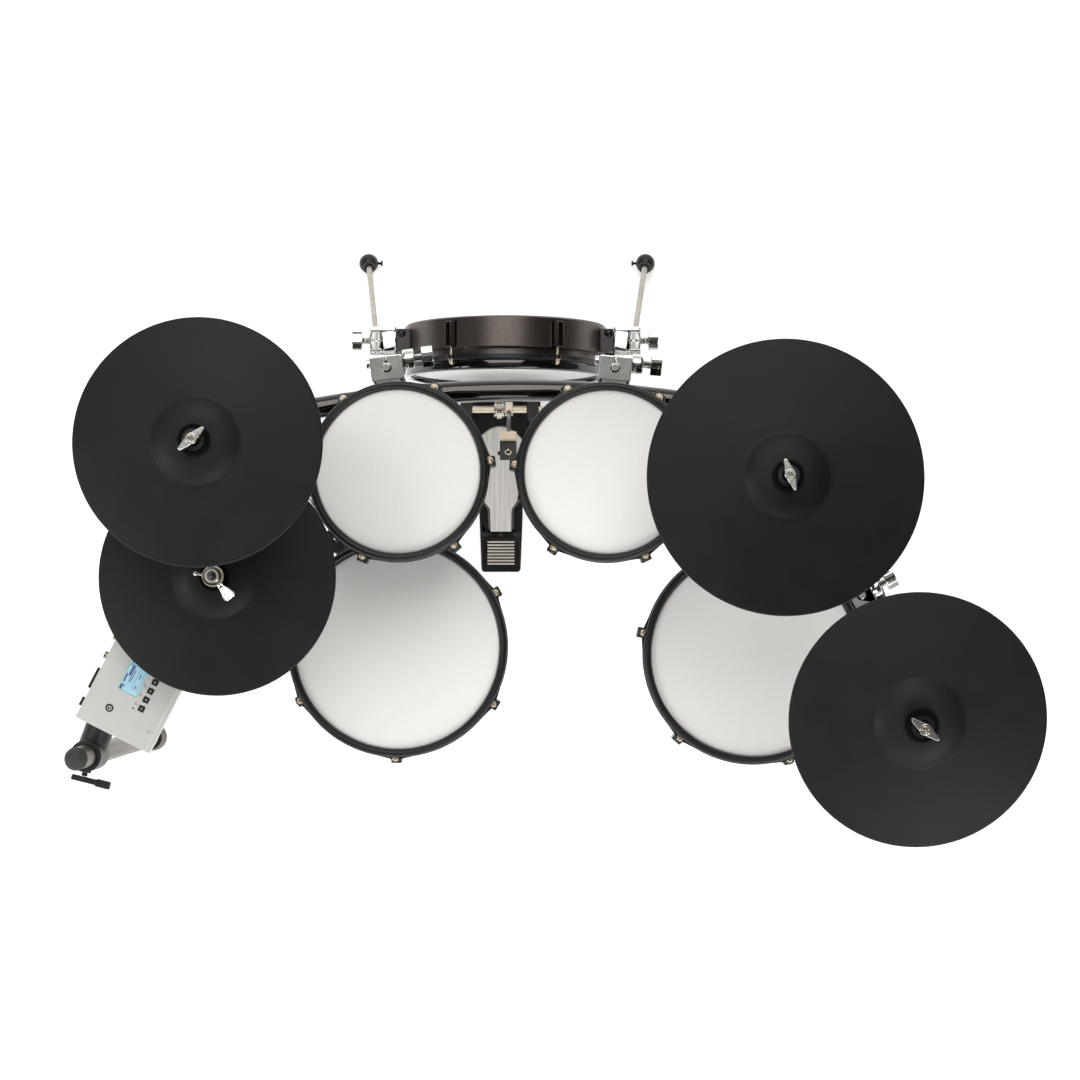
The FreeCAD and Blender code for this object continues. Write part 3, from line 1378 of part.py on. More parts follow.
def make_hihat_stand():
    """Lower and upper tubes and their joint, leg hub, three legs with feet, controller and pedal frame."""
    neck = at_height(hihat_base, hihat_joint_height)
    lower_bore = hihat_tube_diameter - 2 * tube_wall
    lower = tube(at_height(hihat_base, hihat_tube_low), neck, hihat_tube_diameter, lower_bore)
    upper_diameter = lower_bore - 2 * fit
    seat = at_height(hihat_place, hihat_place.z - hihat_seat_drop)
    upper = tube(neck - UP * plug_length, seat, upper_diameter, upper_diameter - 2 * tube_wall)
    grip = tube(neck, neck + UP * elbow_width, elbow_diameter, upper_diameter + 2 * fit)
    controller = tube(seat, seat + UP * controller_height, controller_diameter, hihat_rod_bore)
    hub_low = at_height(hihat_base, hihat_hub_height)
    hub = tube(hub_low, hub_low + UP * elbow_width, hub_diameter, hihat_tube_diameter + 2 * fit)
    solids = [lower, upper, grip, controller, hub]
    for number in range(3):
        out = flat_dir(number * 120)
        side = UP.cross(out)
        start = hub_low + out * ((hub_diameter + hihat_leg_thickness) / 2) + UP * (elbow_width / 2)
        foot = hihat_base + out * hihat_leg_spread + UP * hihat_foot_diameter
        along = (foot - start).normalize()
        leg_half = hihat_leg_width / 2
        leg_length = (foot - start).Length
        normal = along.cross(side)
        leg = plate([(-leg_half, 0), (leg_half, 0), (leg_half, leg_length), (-leg_half, leg_length)],
                    start - normal * (hihat_leg_thickness / 2), along, side, normal, hihat_leg_thickness)
        shoe = rod(at_height(foot, 0), at_height(foot, 2 * hihat_foot_diameter), hihat_foot_diameter)
        shoe = shoe.cut(leg)
        solids += [leg, max(shoe.Solids, key=lambda piece: piece.Volume)]
    half = hihat_pedal_width / 2
    frame_length = hihat_pedal_length + half
    frame = plate([(-half, 0), (half, 0), (half, frame_length), (-half, frame_length)],
                  hihat_base - pedal_dir * half, pedal_dir, pedal_side, UP, base_thickness)
    frame_mid = hihat_base + UP * (base_thickness + hihat_tube_low) * half_share
    yoke = block(frame_mid, hihat_tube_diameter + 2 * tube_wall, hihat_pedal_width,
                 hihat_tube_low - base_thickness, hihat_pedal_deg)
    yoke = yoke.cut(block(frame_mid, hihat_pedal_width, yoke_gap, 2 * hihat_tube_low, hihat_pedal_deg))
    bridge = block(at_height(hihat_base, hihat_tube_low - base_thickness / 2),
                   hihat_tube_diameter + 2 * tube_wall, yoke_gap, base_thickness, hihat_pedal_deg)
    bridge = bridge.cut(rod(hihat_base, at_height(hihat_base, 2 * hihat_tube_low), hihat_rod_bore))
    heel_height = hihat_hinge.z - base_thickness + knuckle_diameter
    heel = block(at_height(hihat_hinge, base_thickness + heel_height / 2), heel_plate_length * half_share,
                 hihat_pedal_width, heel_height, hihat_pedal_deg)
    heel = heel.cut(block(hihat_hinge, hihat_pedal_width, yoke_gap, 2 * heel_height, hihat_pedal_deg))
    pin = rod(hihat_hinge - pedal_side * half, hihat_hinge + pedal_side * half, pin_diameter)
    pin_room = rod(hihat_hinge - pedal_side * hihat_pedal_width, hihat_hinge + pedal_side * hihat_pedal_width,
                   pin_diameter + 2 * fit)
    heels = [cheek.cut(pin_room) for cheek in heel.Solids]
    return solids + [frame, bridge, pin] + yoke.Solids + heels


def make_hihat_rod():
    """The pull rod with its link, and the clutch that grips it above the pad."""
    link_low = hihat_base + UP * hihat_link_height
    top = hihat_place + UP * hihat_rod_reach
    link_mid = link_low + pedal_dir * (hihat_link_length / 2) + UP * (base_thickness / 2)
    link = block(link_mid, hihat_link_length, hihat_link_width, base_thickness, hihat_pedal_deg)
    pull = joined(rod(link_low, top, hihat_rod_diameter), link)
    washer_top = pad_crown + clutch_washer_height
    bore = hihat_rod_diameter + 2 * fit
    sleeve_diameter = pad_hole_diameter - 2 * run_gap
    washer = tube(hihat_place + UP * pad_crown, hihat_place + UP * washer_top, clutch_washer_diameter,
                  sleeve_diameter + 2 * fit)
    body = rod(hihat_place + UP * washer_top, hihat_place + UP * (washer_top + clutch_height),
               clutch_diameter)
    sleeve = rod(hihat_place - UP * felt_dome_radius, hihat_place + UP * washer_top, sleeve_diameter)
    middle = hihat_place + UP * (washer_top + clutch_height / 2)
    wing_out = flat_dir(clutch_wing_deg)
    handle = wing(middle, wing_out, UP.cross(wing_out), knob_span, knob_thickness, knob_height, bolt_diameter,
                  clutch_diameter / 2 + wing_bolt_reach / 2)
    pin_out = flat_dir(clutch_pin_deg)
    ball = middle + pin_out * (clutch_diameter / 2 + wing_bolt_reach)
    pin = joined(rod(middle, ball, wing_thickness), Part.makeSphere(wing_thickness, ball))
    through = rod(hihat_place - UP * (felt_dome_radius + overrun),
                  hihat_place + UP * (washer_top + clutch_height + overrun), bore)
    clutch = joined(body, handle, pin).cut(through)
    return [pull, clutch, washer, sleeve.cut(through)]


def make_hihat_pad():
    """The hi-hat's pad with its felt, carried by the clutch."""
    pad = pad_face(crash_diameter).revolve(Vector(0, 0, 0), UP, 360)
    under = pad_crown - pad_thickness
    felt = tube(UP * (under - felt_height), UP * under, felt_diameter, pad_hole_diameter)
    for solid in (pad, felt):
        solid.translate(hihat_place)
    return [pad, felt]


def make_hihat_footboard():
    """The hi-hat's footboard, from its heel hinge up to the pull rod's link."""
    rise = math.radians(hihat_slope_deg)
    along = pedal_dir * -math.cos(rise) + UP * math.sin(rise)
    up = pedal_dir * math.sin(rise) + UP * math.cos(rise)
    half = hihat_board_width / 2
    board = plate([(-half, 0), (half, 0), (half, hihat_board_length), (-half, hihat_board_length)],
                  hihat_hinge, along, pedal_side, up, board_thickness)
    barrel = rod(hihat_hinge - pedal_side * half, hihat_hinge + pedal_side * half, knuckle_diameter)
    bore = rod(hihat_hinge - pedal_side * hihat_board_width, hihat_hinge + pedal_side * hihat_board_width,
               pin_diameter + 2 * run_gap)
    return [joined(board, barrel).cut(bore)]


# Sound module, drawn with its tilt axis along local Y at the origin

left_bar = side_bar_ends(post_rear_left, post_front_left, left_bar_height)
left_along = (left_bar[1] - left_bar[0]).normalize()
left_normal = left_along.cross(UP)
module_foot = left_bar[0] + left_along * module_bar_share * (left_bar[1] - left_bar[0]).Length
module_rod = module_foot + left_normal * rod_room
module_axis_height = module_top_height - module_rise
module_hinge = at_height(module_rod, module_axis_height)
module_turn = FreeCAD.Rotation(UP, -module_heading_deg).multiply(FreeCAD.Rotation(AHEAD, module_tilt_deg))
module_placement = FreeCAD.Placement(module_hinge, module_turn)
module_bottom = module_rise - module_height


def on_module(x, y, z=0):
    """A point of the module counted from the middle of its top face."""
    return Vector(module_offset_x + x, module_offset_y + y, module_rise + z)


def module_button_places():
    return [on_module(button_row_x, button_row_y + button_pitch * number) for number in range(button_count)]


def make_module_case():
    """The case with pockets for display and buttons, its feet plate and ears, and the sockets behind."""
    middle = on_module(0, 0, -module_height / 2)
    case = block(middle, module_width, module_length, module_height, 0, module_corner)
    front_edges = [edge for edge in case.Edges if edge.BoundBox.ZLength < fit and edge.BoundBox.XLength < fit
                   and edge.BoundBox.XMin > middle.x and edge.BoundBox.ZMin > middle.z]
    case = case.makeFillet(module_front_round, front_edges)
    screen = block(on_module(screen_x, screen_y), screen_width + 2 * fit, screen_length + 2 * fit,
                   2 * screen_depth)
    case = case.cut(screen)
    for place in module_button_places():
        case = case.cut(block(place, button_size + 2 * run_gap, button_size + 2 * run_gap, 2 * button_depth))
    power = on_module(power_x, power_y)
    case = case.cut(rod(power - UP * button_depth, power + UP * overrun, power_diameter + 2 * run_gap))
    low = module_bottom
    foot = block(Vector(0, 0, low - mount_plate_thickness / 2), mount_plate_width, mount_plate_length,
                 mount_plate_thickness, 0, bracket_fillet)
    ears = []
    for side in (-1, 1):
        y = side * (hinge_barrel_length / 2 + run_gap + ear_thickness / 2)
        ear = block(Vector(0, y, (low - mount_plate_thickness) / 2), hinge_barrel_diameter, ear_thickness,
                    low - mount_plate_thickness)
        tip = rod(Vector(0, y - ear_thickness / 2, 0), Vector(0, y + ear_thickness / 2, 0),
                  hinge_barrel_diameter)
        ears += [ear, tip]
    foot = joined(foot, *ears)
    half = hinge_barrel_length / 2 + run_gap + ear_thickness
    pin = rod(Vector(0, -half, 0), Vector(0, half, 0), pin_diameter)
    foot = foot.cut(rod(Vector(0, -half, 0), Vector(0, half, 0), pin_diameter + 2 * fit))
    rear_x = module_offset_x - module_width / 2
    rear_z = module_rise - module_height / 2
    sockets = []
    for y in jack_places:
        start = Vector(rear_x, module_offset_y + y, rear_z)
        sockets.append(rod(start - RIGHT * jack_reach, start, jack_diameter))
    port = Vector(rear_x - port_reach / 2, module_offset_y + port_y, rear_z)
    sockets.append(block(port, port_reach, port_length, port_height))
    switch = Vector(rear_x - port_reach / 2, module_offset_y + switch_y, rear_z)
    sockets.append(block(switch, port_reach, switch_length, port_height))
    return [case, foot, pin] + sockets


def make_module_display():
    middle = on_module(screen_x, screen_y, -screen_depth / 2)
    return [block(middle, screen_width, screen_length, screen_depth)]


def make_button(place):
    """A square key cap that sinks into its pocket."""
    return [block(place + UP * ((button_proud - button_body) / 2), button_size, button_size,
                  button_proud + button_body, 0, button_corner)]


def make_power_button():
    place = on_module(power_x, power_y)
    return [rod(place - UP * button_body, place + UP * button_proud, power_diameter)]


def make_module_mount():
    """Bar clamp, upright rod and the hinge barrel that the module tilts on."""
    solids = arm_clamp(module_rod, module_foot, left_along, bar_bore(left_bar))
    low = at_height(module_rod, left_bar_height - rod_boss_height / 2 - rod_top_reach)
    along = FreeCAD.Rotation(UP, -module_heading_deg).multVec(AHEAD)
    half = along * (hinge_barrel_length / 2)
    barrel = rod(module_hinge - half, module_hinge + half, hinge_barrel_diameter)
    post = rod(low, module_hinge, drum_rod_diameter)
    post = joined(barrel, post)
    post = post.cut(rod(module_hinge - half * 2, module_hinge + half * 2, pin_diameter + 2 * run_gap))
    return solids + [post]


def placed(solids, placement):
    for solid in solids:
        solid.Placement = placement.multiply(solid.Placement)
    return solids


# Every node

nodes["posts"] = make_posts()
nodes["post_feet"] = make_feet()
nodes["post_fittings"] = make_post_fittings()
nodes["rack_bars"] = make_front_bar() + make_side_bars()
nodes["rack_clamps"] = make_rack_clamps()
nodes["drum_rods"] = make_drum_rods()
nodes["cymbal_arms"] = make_cymbal_arms()
for cymbal, (post, centre, axis, diameter, turn_deg) in cymbals.items():
    away = centre - post
    nodes[cymbal + "_pad"] = make_pad(centre, axis, diameter, math.degrees(math.atan2(away.y, away.x)))
    nodes[cymbal + "_nut"] = make_wing_nut(centre, axis, turn_deg)
make_drum("tom_left", tom_left_place, tom_head_diameter, tom_depth, tom_left_bracket_deg, lug_lead_deg, -1)
make_drum("tom_right", tom_right_place, tom_head_diameter, tom_depth, tom_right_bracket_deg, lug_lead_deg, -1)
make_drum("snare", snare_place, large_head_diameter, snare_depth, snare_bracket_deg, lug_lead_deg, -1)
make_drum("floor_tom", floor_tom_place, large_head_diameter, floor_tom_depth, floor_tom_bracket_deg,
          floor_tom_lug_lead_deg, 0)
make_kick()
make_spurs()
nodes["pedal_frame"] = make_pedal_frame() + make_heel_plate()
nodes["pedal_footboard"] = make_footboard()
nodes["pedal_axle"] = make_axle()
nodes["pedal_beater"] = make_beater()
nodes["pedal_chain"] = make_chain()
nodes["pedal_spring"] = make_spring()
nodes["hihat_stand"] = make_hihat_stand()
nodes["hihat_rod"] = make_hihat_rod()
nodes["hihat_pad"] = make_hihat_pad()
nodes["hihat_footboard"] = make_hihat_footboard()
nodes["module_case"] = placed(make_module_case(), module_placement)
nodes["module_display"] = placed(make_module_display(), module_placement)
nodes["module_mount"] = make_module_mount()
nodes["power_button"] = placed(make_power_button(), module_placement)
for number, place in enumerate(module_button_places(), 1):
    nodes["function_button_" + str(number)] = placed(make_button(place), module_placement)

# The origin is on the floor under the middle of the kit

box = FreeCAD.BoundBox()
for solids in nodes.values():
    for solid in solids:
        box.add(solid.optimalBoundingBox(True, False))
to_origin = Vector(-box.Center.x, -box.Center.y, 0)
os.makedirs("parts", exist_ok=True)
for name, solids in nodes.items():
    for solid in solids:
        solid.translate(to_origin)
    shape = solids[0] if len(solids) == 1 else Part.makeCompound(solids)
    shape.exportStep("parts/" + name + ".step")
sizes = [round(size, 1) for size in (box.XLength, box.YLength, box.ZLength)]
print("kit size", sizes, "lowest", round(box.ZMin, 3))
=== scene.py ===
"""Looks of an electronic drum kit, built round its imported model.

Lengths are in millimetres; those of node trees, meshes and the stage are in metres.
"""
import json
import math

import bmesh
import bpy
from bpy.props import FloatProperty, FloatVectorProperty, IntProperty, PointerProperty
from mathutils import Matrix, Vector


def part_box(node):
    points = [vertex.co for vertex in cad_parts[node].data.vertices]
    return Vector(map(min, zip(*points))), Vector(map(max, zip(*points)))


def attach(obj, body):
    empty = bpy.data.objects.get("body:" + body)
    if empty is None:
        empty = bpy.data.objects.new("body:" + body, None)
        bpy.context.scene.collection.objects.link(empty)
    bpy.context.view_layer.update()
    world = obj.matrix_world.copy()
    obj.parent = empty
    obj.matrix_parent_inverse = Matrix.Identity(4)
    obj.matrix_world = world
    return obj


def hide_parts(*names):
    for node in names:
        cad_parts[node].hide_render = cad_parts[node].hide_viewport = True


bl_info = {
    "name": "Electronic drum kit",
    "version": (1, 0, 0),
    "blender": (4, 5, 0),
    "location": "3D View > Sidebar > Drum kit",
    "description": "Dresses the packed drum kit with its finishes, pads, heads, fittings and stage",
    "category": "Object",
}

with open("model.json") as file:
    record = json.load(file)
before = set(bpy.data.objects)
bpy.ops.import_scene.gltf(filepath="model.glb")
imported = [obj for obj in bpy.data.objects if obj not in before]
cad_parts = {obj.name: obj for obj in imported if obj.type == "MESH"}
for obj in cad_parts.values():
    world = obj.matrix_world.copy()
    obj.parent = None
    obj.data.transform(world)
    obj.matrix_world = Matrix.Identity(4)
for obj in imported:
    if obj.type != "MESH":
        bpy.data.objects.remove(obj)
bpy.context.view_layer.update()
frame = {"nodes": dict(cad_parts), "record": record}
behaviour = frame["record"]["behaviour"]
joints = {joint["name"]: joint for joint in behaviour["joints"]}
body_of_node = {node: body for body, members in behaviour["bodies"].items() for node in members}
UP = Vector((0, 0, 1))
RIGHT = Vector((1, 0, 0))

# Degrees from +X towards +Y: how the wing nuts are left, and where each drum's first lug is
NUT_TURNS = {"crash_left": 42.0, "ride": 108.0, "crash_right": -38.0}
FIRST_LUGS = {"tom_left": 127.0, "tom_right": 115.0, "snare": 149.0, "floor_tom": 49.0}
# Degrees that the knob of each drum is turned on its stem
KNOB_TURNS = {"tom_left": 13.0, "tom_right": 21.0, "snare": 13.0, "floor_tom": 15.0}
# Sizes of the CAD model that the frame doesn't give
MODULE_HEADING = -27.2
MODULE_TILT = 6.0
MODULE_TOP = (22.0, 0.0, 64.0)
BOARD_SLOPE = 28.0
BEATER_LEAN = 33.0
BEATER_RADIUS = 131.0
BEATER_OFFSET = 17.0
FLESH_HOOP = 5.0
KNOB_DROP = 67.0
HANDLE_PLACE = (-688.4, -437.0, 680.0)
# A post fitting that reaches over this height is a cap
CAP_HEIGHT = 812.0
# Which way local X points on each spur
SPUR_SIDES = {"spur_left": -1, "spur_right": 1}
# Left clamp's lever in degrees, and the round on the heel's corners
HANDLE_TURN = -14.0
HEEL_ROUND = 6.0
# Ears: radius of the head that their spread is given for, round end, faces under the head
EAR_HEAD = 127.0
EAR_END = 8.0
EAR_LOW = -17.0
EAR_TOP = -10.2
# Lug casings: two corners, from the head's edge
LUG_CASING = ((-3.6, -8.5, -78.0), (24.0, 8.5, -34.0))
KICK_LUG_CASING = ((10.4, -6.5, -74.0), (27.0, 6.5, -30.0))
# Module, on its top face: half sides, depth and front round of the case; middle and size of the display;
# buttons and their pockets
CASE_HALF = (63.0, 100.0)
CASE_DEPTH = 44.0
CASE_ROUND = 12.0
DISPLAY = (-11.0, -6.0, 32.0, 53.0)
BUTTON_X = 20.5
BUTTON_YS = (-44.0, -29.0, -14.0, 1.0, 16.0)
BUTTON_POCKET = 9.4
POWER_PLACE = (-23.4, -64.7, 0.0)
POWER_POCKET = 6.0
POCKET_DEPTH = 6.0
# Camera: place from the middle of the kick's head, height, tilt in degrees, focal length in picture widths
CAMERA_FROM_KICK = (61.0, -445.0)
CAMERA_HEIGHT = 4810.0
CAMERA_TILT = 1.873
PHOTO_FOCAL = 2600 / 1080


def linear(code):
    """An sRGB hex colour as linear RGB."""
    parts = [int(code[i:i + 2], 16) / 255 for i in (1, 3, 5)]
    return tuple(p / 12.92 if p <= 0.04045 else ((p + 0.055) / 1.055) ** 2.4 for p in parts)


def metres(*values):
    return Vector(values) / 1000


def joint_place(name):
    return Vector(joints[name]["pos_m"]) * 1000


def node_box(node):
    low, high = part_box(node)
    return Vector(low) * 1000, Vector(high) * 1000


def measure(name, description, default, **limits):
    return FloatProperty(name=name, description=description, default=default, **limits)


def tint(name, description, code):
    return FloatVectorProperty(name=name, description=description, subtype="COLOR", default=linear(code))


class KitSizes(bpy.types.PropertyGroup):
    """Sizes that a user would change"""
    edge: measure("Edge round", "Round on the edges of turned and cast pieces, in mm", 0.5, min=0.0, max=2.0)
    rim_width: measure("Rim width", "Width of a drum's rubber rim, in mm", 12.0)
    rim_height: measure("Rim height", "Rim above the head, in mm", 9.0)
    ear_reach: measure("Ear reach", "Lug ear's middle outside the rim, in mm", 3.0)
    ear_spread: measure("Ear spread", "Angle that an ear's gusset takes on each side", 15.0)
    lug_count: IntProperty(name="Lugs", description="Tension rods on each drum", default=6, min=3, max=12)
    wing_span: measure("Wing nut span", "Wing nut from tip to tip, in mm", 48.0)
    grip_span: measure("Knob grip", "Grip plate of a clamp's knob, in mm", 33.0)
    floor_size: measure("Floor size", "Side of the studio floor, in m", 40.0)


class KitColours(bpy.types.PropertyGroup):
    """Main colours that a user would change"""
    rubber: tint("Pad rubber", "Cymbal pads", "#191919")
    head: tint("Mesh head", "Drum heads", "#ecebe9")
    rim: tint("Rim", "Rubber rims of the drums", "#131313")
    wrap: tint("Kick wrap", "Metallic wrap of the kick", "#655d59")
    tube: tint("Rack tube", "Silver posts", "#746e66")
    enamel: tint("Module", "Module case", "#c8c9c5")
    screen: tint("Display", "Lit display", "#9fcadc")


# Materials

# What each finish is, how it was made and what that gives the eye:
# two colours, patch in mm, roughness from and to, metallic, grain and its depth in mm, then shader inputs
# and the stretch of the pattern
FINISHES = {
    # compression-moulded rubber: matte, with a fine even grain
    "moulded_rubber": ("rubber", "#1c1c1c", 45.0, 0.5, 0.58, 0.0, 1.3, 0.03,
                       {"Specular IOR Level": 0.2}),
    # pressed wool felt: fuzzy, takes nearly all light
    "wool_felt": ("#060606", "#0d0d0d", 1.4, 0.95, 1.0, 0.0, 1.1, 0.5, {"Specular IOR Level": 0.1}),
    # cut beige felt on the beater
    "beater_felt": ("#e8dac4", "#dccab0", 2.0, 0.95, 1.0, 0.0, 1.2, 0.4, {"Sheen Weight": 0.2}),
    # extruded rubber sleeve on the rims: soft sheen
    "rim_rubber": ("rim", "#181818", 40.0, 0.36, 0.46, 0.0, 1.2, 0.02, {"Specular IOR Level": 0.35}),
    # powder-coated steel: satin black with orange peel
    "powder_coat": ("#0a0a0a", "#111111", 25.0, 0.26, 0.36, 0.0, 1.5, 0.03, {"Specular IOR Level": 0.4}),
    # polished chrome plate: mirror with a trace of handling
    "chrome_plate": ("#dddedb", "#d2d2ce", 18.0, 0.05, 0.1, 1.0, 3.0, 0.002),
    # nickel plate: warm and a little softer
    "nickel_plate": ("#d3c8b6", "#c3b7a3", 8.0, 0.18, 0.28, 1.0, 2.0, 0.006),
    # zinc die-casting, tumbled: grey with a grainy sheen
    "cast_zinc": ("#d2d1cc", "#c2c0ba", 6.0, 0.16, 0.26, 1.0, 0.9, 0.008),
    # drawn aluminium tube, bead-blasted and anodised: satin, faint lines along the tube
    "anodised_tube": ("tube", "#696359", 14.0, 0.36, 0.46, 1.0, 0.7, 0.01, {"stretch": (1, 1, 0.03)}),
    # painted steel rod: matte warm grey
    "leg_paint": ("#c8c4bc", "#bab6ae", 12.0, 0.5, 0.62, 0.2, 0.8, 0.01),
    # gloss lacquer on steel tube: deep black with a clear coat
    "black_lacquer": ("#060505", "#090808", 60.0, 0.08, 0.11, 0.0, 6.0, 0.003,
                      {"Specular IOR Level": 0.6, "Specular Tint": (1.0, 0.9, 0.86, 1.0),
                       "Coat Weight": 0.4}),
    # gloss black hoop: pressed, then dipped
    "hoop_gloss": ("#050505", "#080808", 40.0, 0.05, 0.09, 0.0, 4.0, 0.002, {"Coat Weight": 0.6}),
    # glass-filled nylon: satin black with moulding grain
    "filled_nylon": ("#141414", "#1c1b1b", 12.0, 0.4, 0.52, 0.0, 0.9, 0.04),
    # grey die-cast mounts under clear paint
    "mount_grey": ("#343130", "#3d3a38", 8.0, 0.4, 0.52, 0.2, 0.9, 0.03),
    # matte moulded cap
    "cap_plastic": ("#2c2c2c", "#353433", 9.0, 0.6, 0.72, 0.0, 0.8, 0.05),
    # moulded grey rubber foot
    "foot_rubber": ("#827e77", "#706c66", 10.0, 0.66, 0.8, 0.0, 1.0, 0.04),
    # flake-filled satin wrap
    "kick_wrap": ("wrap", "#554e4a", 1.6, 0.29, 0.34, 0.88, 0.9, 0.02),
    # aluminium sheet brushed along the foot's line
    "brushed_aluminium": ("#bfbdb8", "#aba9a4", 2.2, 0.34, 0.46, 0.5, 0.9, 0.012,
                          {"stretch": (1, 0.02, 0.02)}),
    # extruded rubber edge on the footboard
    "edge_rubber": ("#2b2b2b", "#363636", 6.0, 0.4, 0.5, 0.0, 0.8, 0.02),
    # beige grip strips, rubbed by the heel
    "grip_strip": ("#ded6cd", "#cfc5ba", 4.0, 0.4, 0.55, 0.3, 0.8, 0.02),
    # spattered enamel on folded sheet
    "module_enamel": ("enamel", "#c5c6c2", 22.0, 0.36, 0.42, 0.0, 0.8, 0.025,
                      {"Coat Weight": 0.7, "Coat Roughness": 0.22}),
    # soft key rubber
    "key_rubber": ("#0e0e0e", "#161616", 4.0, 0.5, 0.6, 0.0, 0.7, 0.02),
    # zinc-plated spring wire and studs
    "zinc_steel": ("#9fa1a2", "#868788", 5.0, 0.28, 0.4, 1.0, 1.0, 0.01),
    # screen print and marks
    "white_print": ("#e8e8e4", "#dcdcd8", 3.0, 0.5, 0.6, 0.0, 0.6, 0.004),
    "dark_print": ("#4a4b4a", "#3c3d3c", 3.0, 0.5, 0.6, 0.0, 0.6, 0.004),
    "screen_ink": ("#3a4a80", "#44558c", 3.0, 0.3, 0.4, 0.0, 0.6, 0.002),
    "screen_rim": ("#9fd0cc", "#93c4c2", 3.0, 0.3, 0.4, 0.0, 0.6, 0.002),
    # open foam on the sensors
    "sensor_foam": ("#3a3a3a", "#2c2c2c", 3.0, 0.9, 1.0, 0.0, 1.4, 0.3),
}


def fill(tree, node, inputs):
    """Link or fill a node's inputs."""
    for name, value in inputs.items():
        if isinstance(value, bpy.types.NodeSocket):
            tree.links.new(value, node.inputs[name])
        else:
            node.inputs[name].default_value = value


def add(tree, kind, inputs=None, **settings):
    """Add a node and set it up."""
    made = tree.nodes.new(kind)
    for name, value in settings.items():
        setattr(made, name, value)
    fill(tree, made, inputs or {})
    return made


def shade(name):
    """A new material with its shader, and its mapped Object coordinates."""
    made = bpy.data.materials.new(name)
    made.use_nodes = True
    tree = made.node_tree
    shader = tree.nodes["Principled BSDF"]
    place = add(tree, "ShaderNodeTexCoord").outputs["Object"]
    return made, tree, shader, place


def colour_of(entry):
    colours = bpy.context.scene.kit_colours
    value = linear(entry) if entry.startswith("#") else tuple(getattr(colours, entry))
    return (*value, 1.0)


def spread(tree, factor, *stops):
    """A colour ramp over a factor, from stops of (position, colour)."""
    ramp = add(tree, "ShaderNodeValToRGB", {"Fac": factor})
    elements = ramp.color_ramp.elements
    while len(elements) < len(stops):
        elements.new(0.5)
    for element, (position, colour) in zip(elements, stops):
        element.position = position
        element.color = colour
    return ramp.outputs["Color"]


def finish(name):
    """One of the finishes above, or a material of its own, made once."""
    if name in bpy.data.materials:
        return bpy.data.materials[name]
    if name in OWN_MATERIALS:
        return OWN_MATERIALS[name](name)
    first, second, patch, low, high, metallic, grain, depth, *rest = FINISHES[name]
    more = dict(*rest)
    stretch = more.pop("stretch", (1, 1, 1))
    made, tree, shader, place = shade(name)
    place = add(tree, "ShaderNodeMapping", {"Vector": place, "Scale": stretch}).outputs["Vector"]
    patches = {"Vector": place, "Scale": 1000 / patch, "Detail": 3.0}
    cloud = add(tree, "ShaderNodeTexNoise", patches).outputs["Fac"]
    colour = spread(tree, cloud, (0.35, colour_of(first)), (0.65, colour_of(second)))
    rough = add(tree, "ShaderNodeMapRange", {"Value": cloud, "From Min": 0.3, "From Max": 0.7,
                                             "To Min": low, "To Max": high})
    grit = add(tree, "ShaderNodeTexNoise", {"Vector": place, "Scale": 1000 / grain, "Detail": 2.0})
    bump = add(tree, "ShaderNodeBump", {"Height": grit.outputs["Fac"], "Strength": 0.6,
                                        "Distance": depth / 1000})
    fill(tree, shader, {"Base Color": colour, "Roughness": rough.outputs["Result"],
                        "Normal": bump.outputs["Normal"], "Metallic": metallic, **more})
    return made


def mesh_head(name):
    """Woven polyester mesh: matte white, with a faint weave in its bump and fine specks."""
    made, tree, shader, place = shade(name)
    bands = {"Vector": place, "Scale": 1000 / 28.0, "Distortion": 0.0}
    waves = [add(tree, "ShaderNodeTexWave", bands, bands_direction=direction).outputs["Fac"]
             for direction in ("X", "Y")]
    weave = add(tree, "ShaderNodeMath", {0: waves[0], 1: waves[1]}, operation="MULTIPLY")
    speck = add(tree, "ShaderNodeTexNoise", {"Vector": place, "Scale": 1000 / 3.0, "Detail": 3.0})
    colour = spread(tree, speck.outputs["Fac"], (0.3, colour_of("#e9e8e5")), (0.6, colour_of("head")))
    bump = add(tree, "ShaderNodeBump", {"Height": weave.outputs["Value"], "Strength": 0.15,
                                        "Distance": 0.0002})
    fill(tree, shader, {"Base Color": colour, "Normal": bump.outputs["Normal"], "Roughness": 0.75})
    return made


def screen_glass(name):
    """A lit display behind glass: pale blue, not quite even."""
    made, tree, shader, place = shade(name)
    cloud = add(tree, "ShaderNodeTexNoise", {"Vector": place, "Scale": 1000 / 30.0})
    colour = spread(tree, cloud.outputs["Fac"], (0.3, colour_of("screen")), (0.7, colour_of("#aed4e2")))
    fill(tree, shader, {"Base Color": colour, "Emission Color": colour, "Emission Strength": 0.12,
                        "Roughness": 0.12})
    return made


OWN_MATERIALS = {"woven_mesh_head": mesh_head, "lit_screen": screen_glass}


# Meshes

def settle(bm, crease_deg):
    """Smooth every face and mark the edges that stay crisp."""
    limit = math.radians(crease_deg)
    for face in bm.faces:
        face.smooth = True
    for edge in bm.edges:
        edge.smooth = len(edge.link_faces) == 2 and edge.calc_face_angle(0.0) < limit


def piece(name, bm, slot, finishes, *stands_for, crease_deg=35.0, outward=True):
    """Turn a mesh in metres into a piece of a node, on the node's body."""
    if outward:
        bmesh.ops.recalc_face_normals(bm, faces=bm.faces)
    settle(bm, crease_deg)
    mesh = bpy.data.meshes.new(name)
    bm.to_mesh(mesh)
    bm.free()
    for entry in finishes:
        mesh.materials.append(finish(entry))
    made = bpy.data.objects.new(name, mesh)
    bpy.context.scene.collection.objects.link(made)
    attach(made, body_of_node[slot])
    if stands_for:
        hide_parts(*stands_for)
    return made


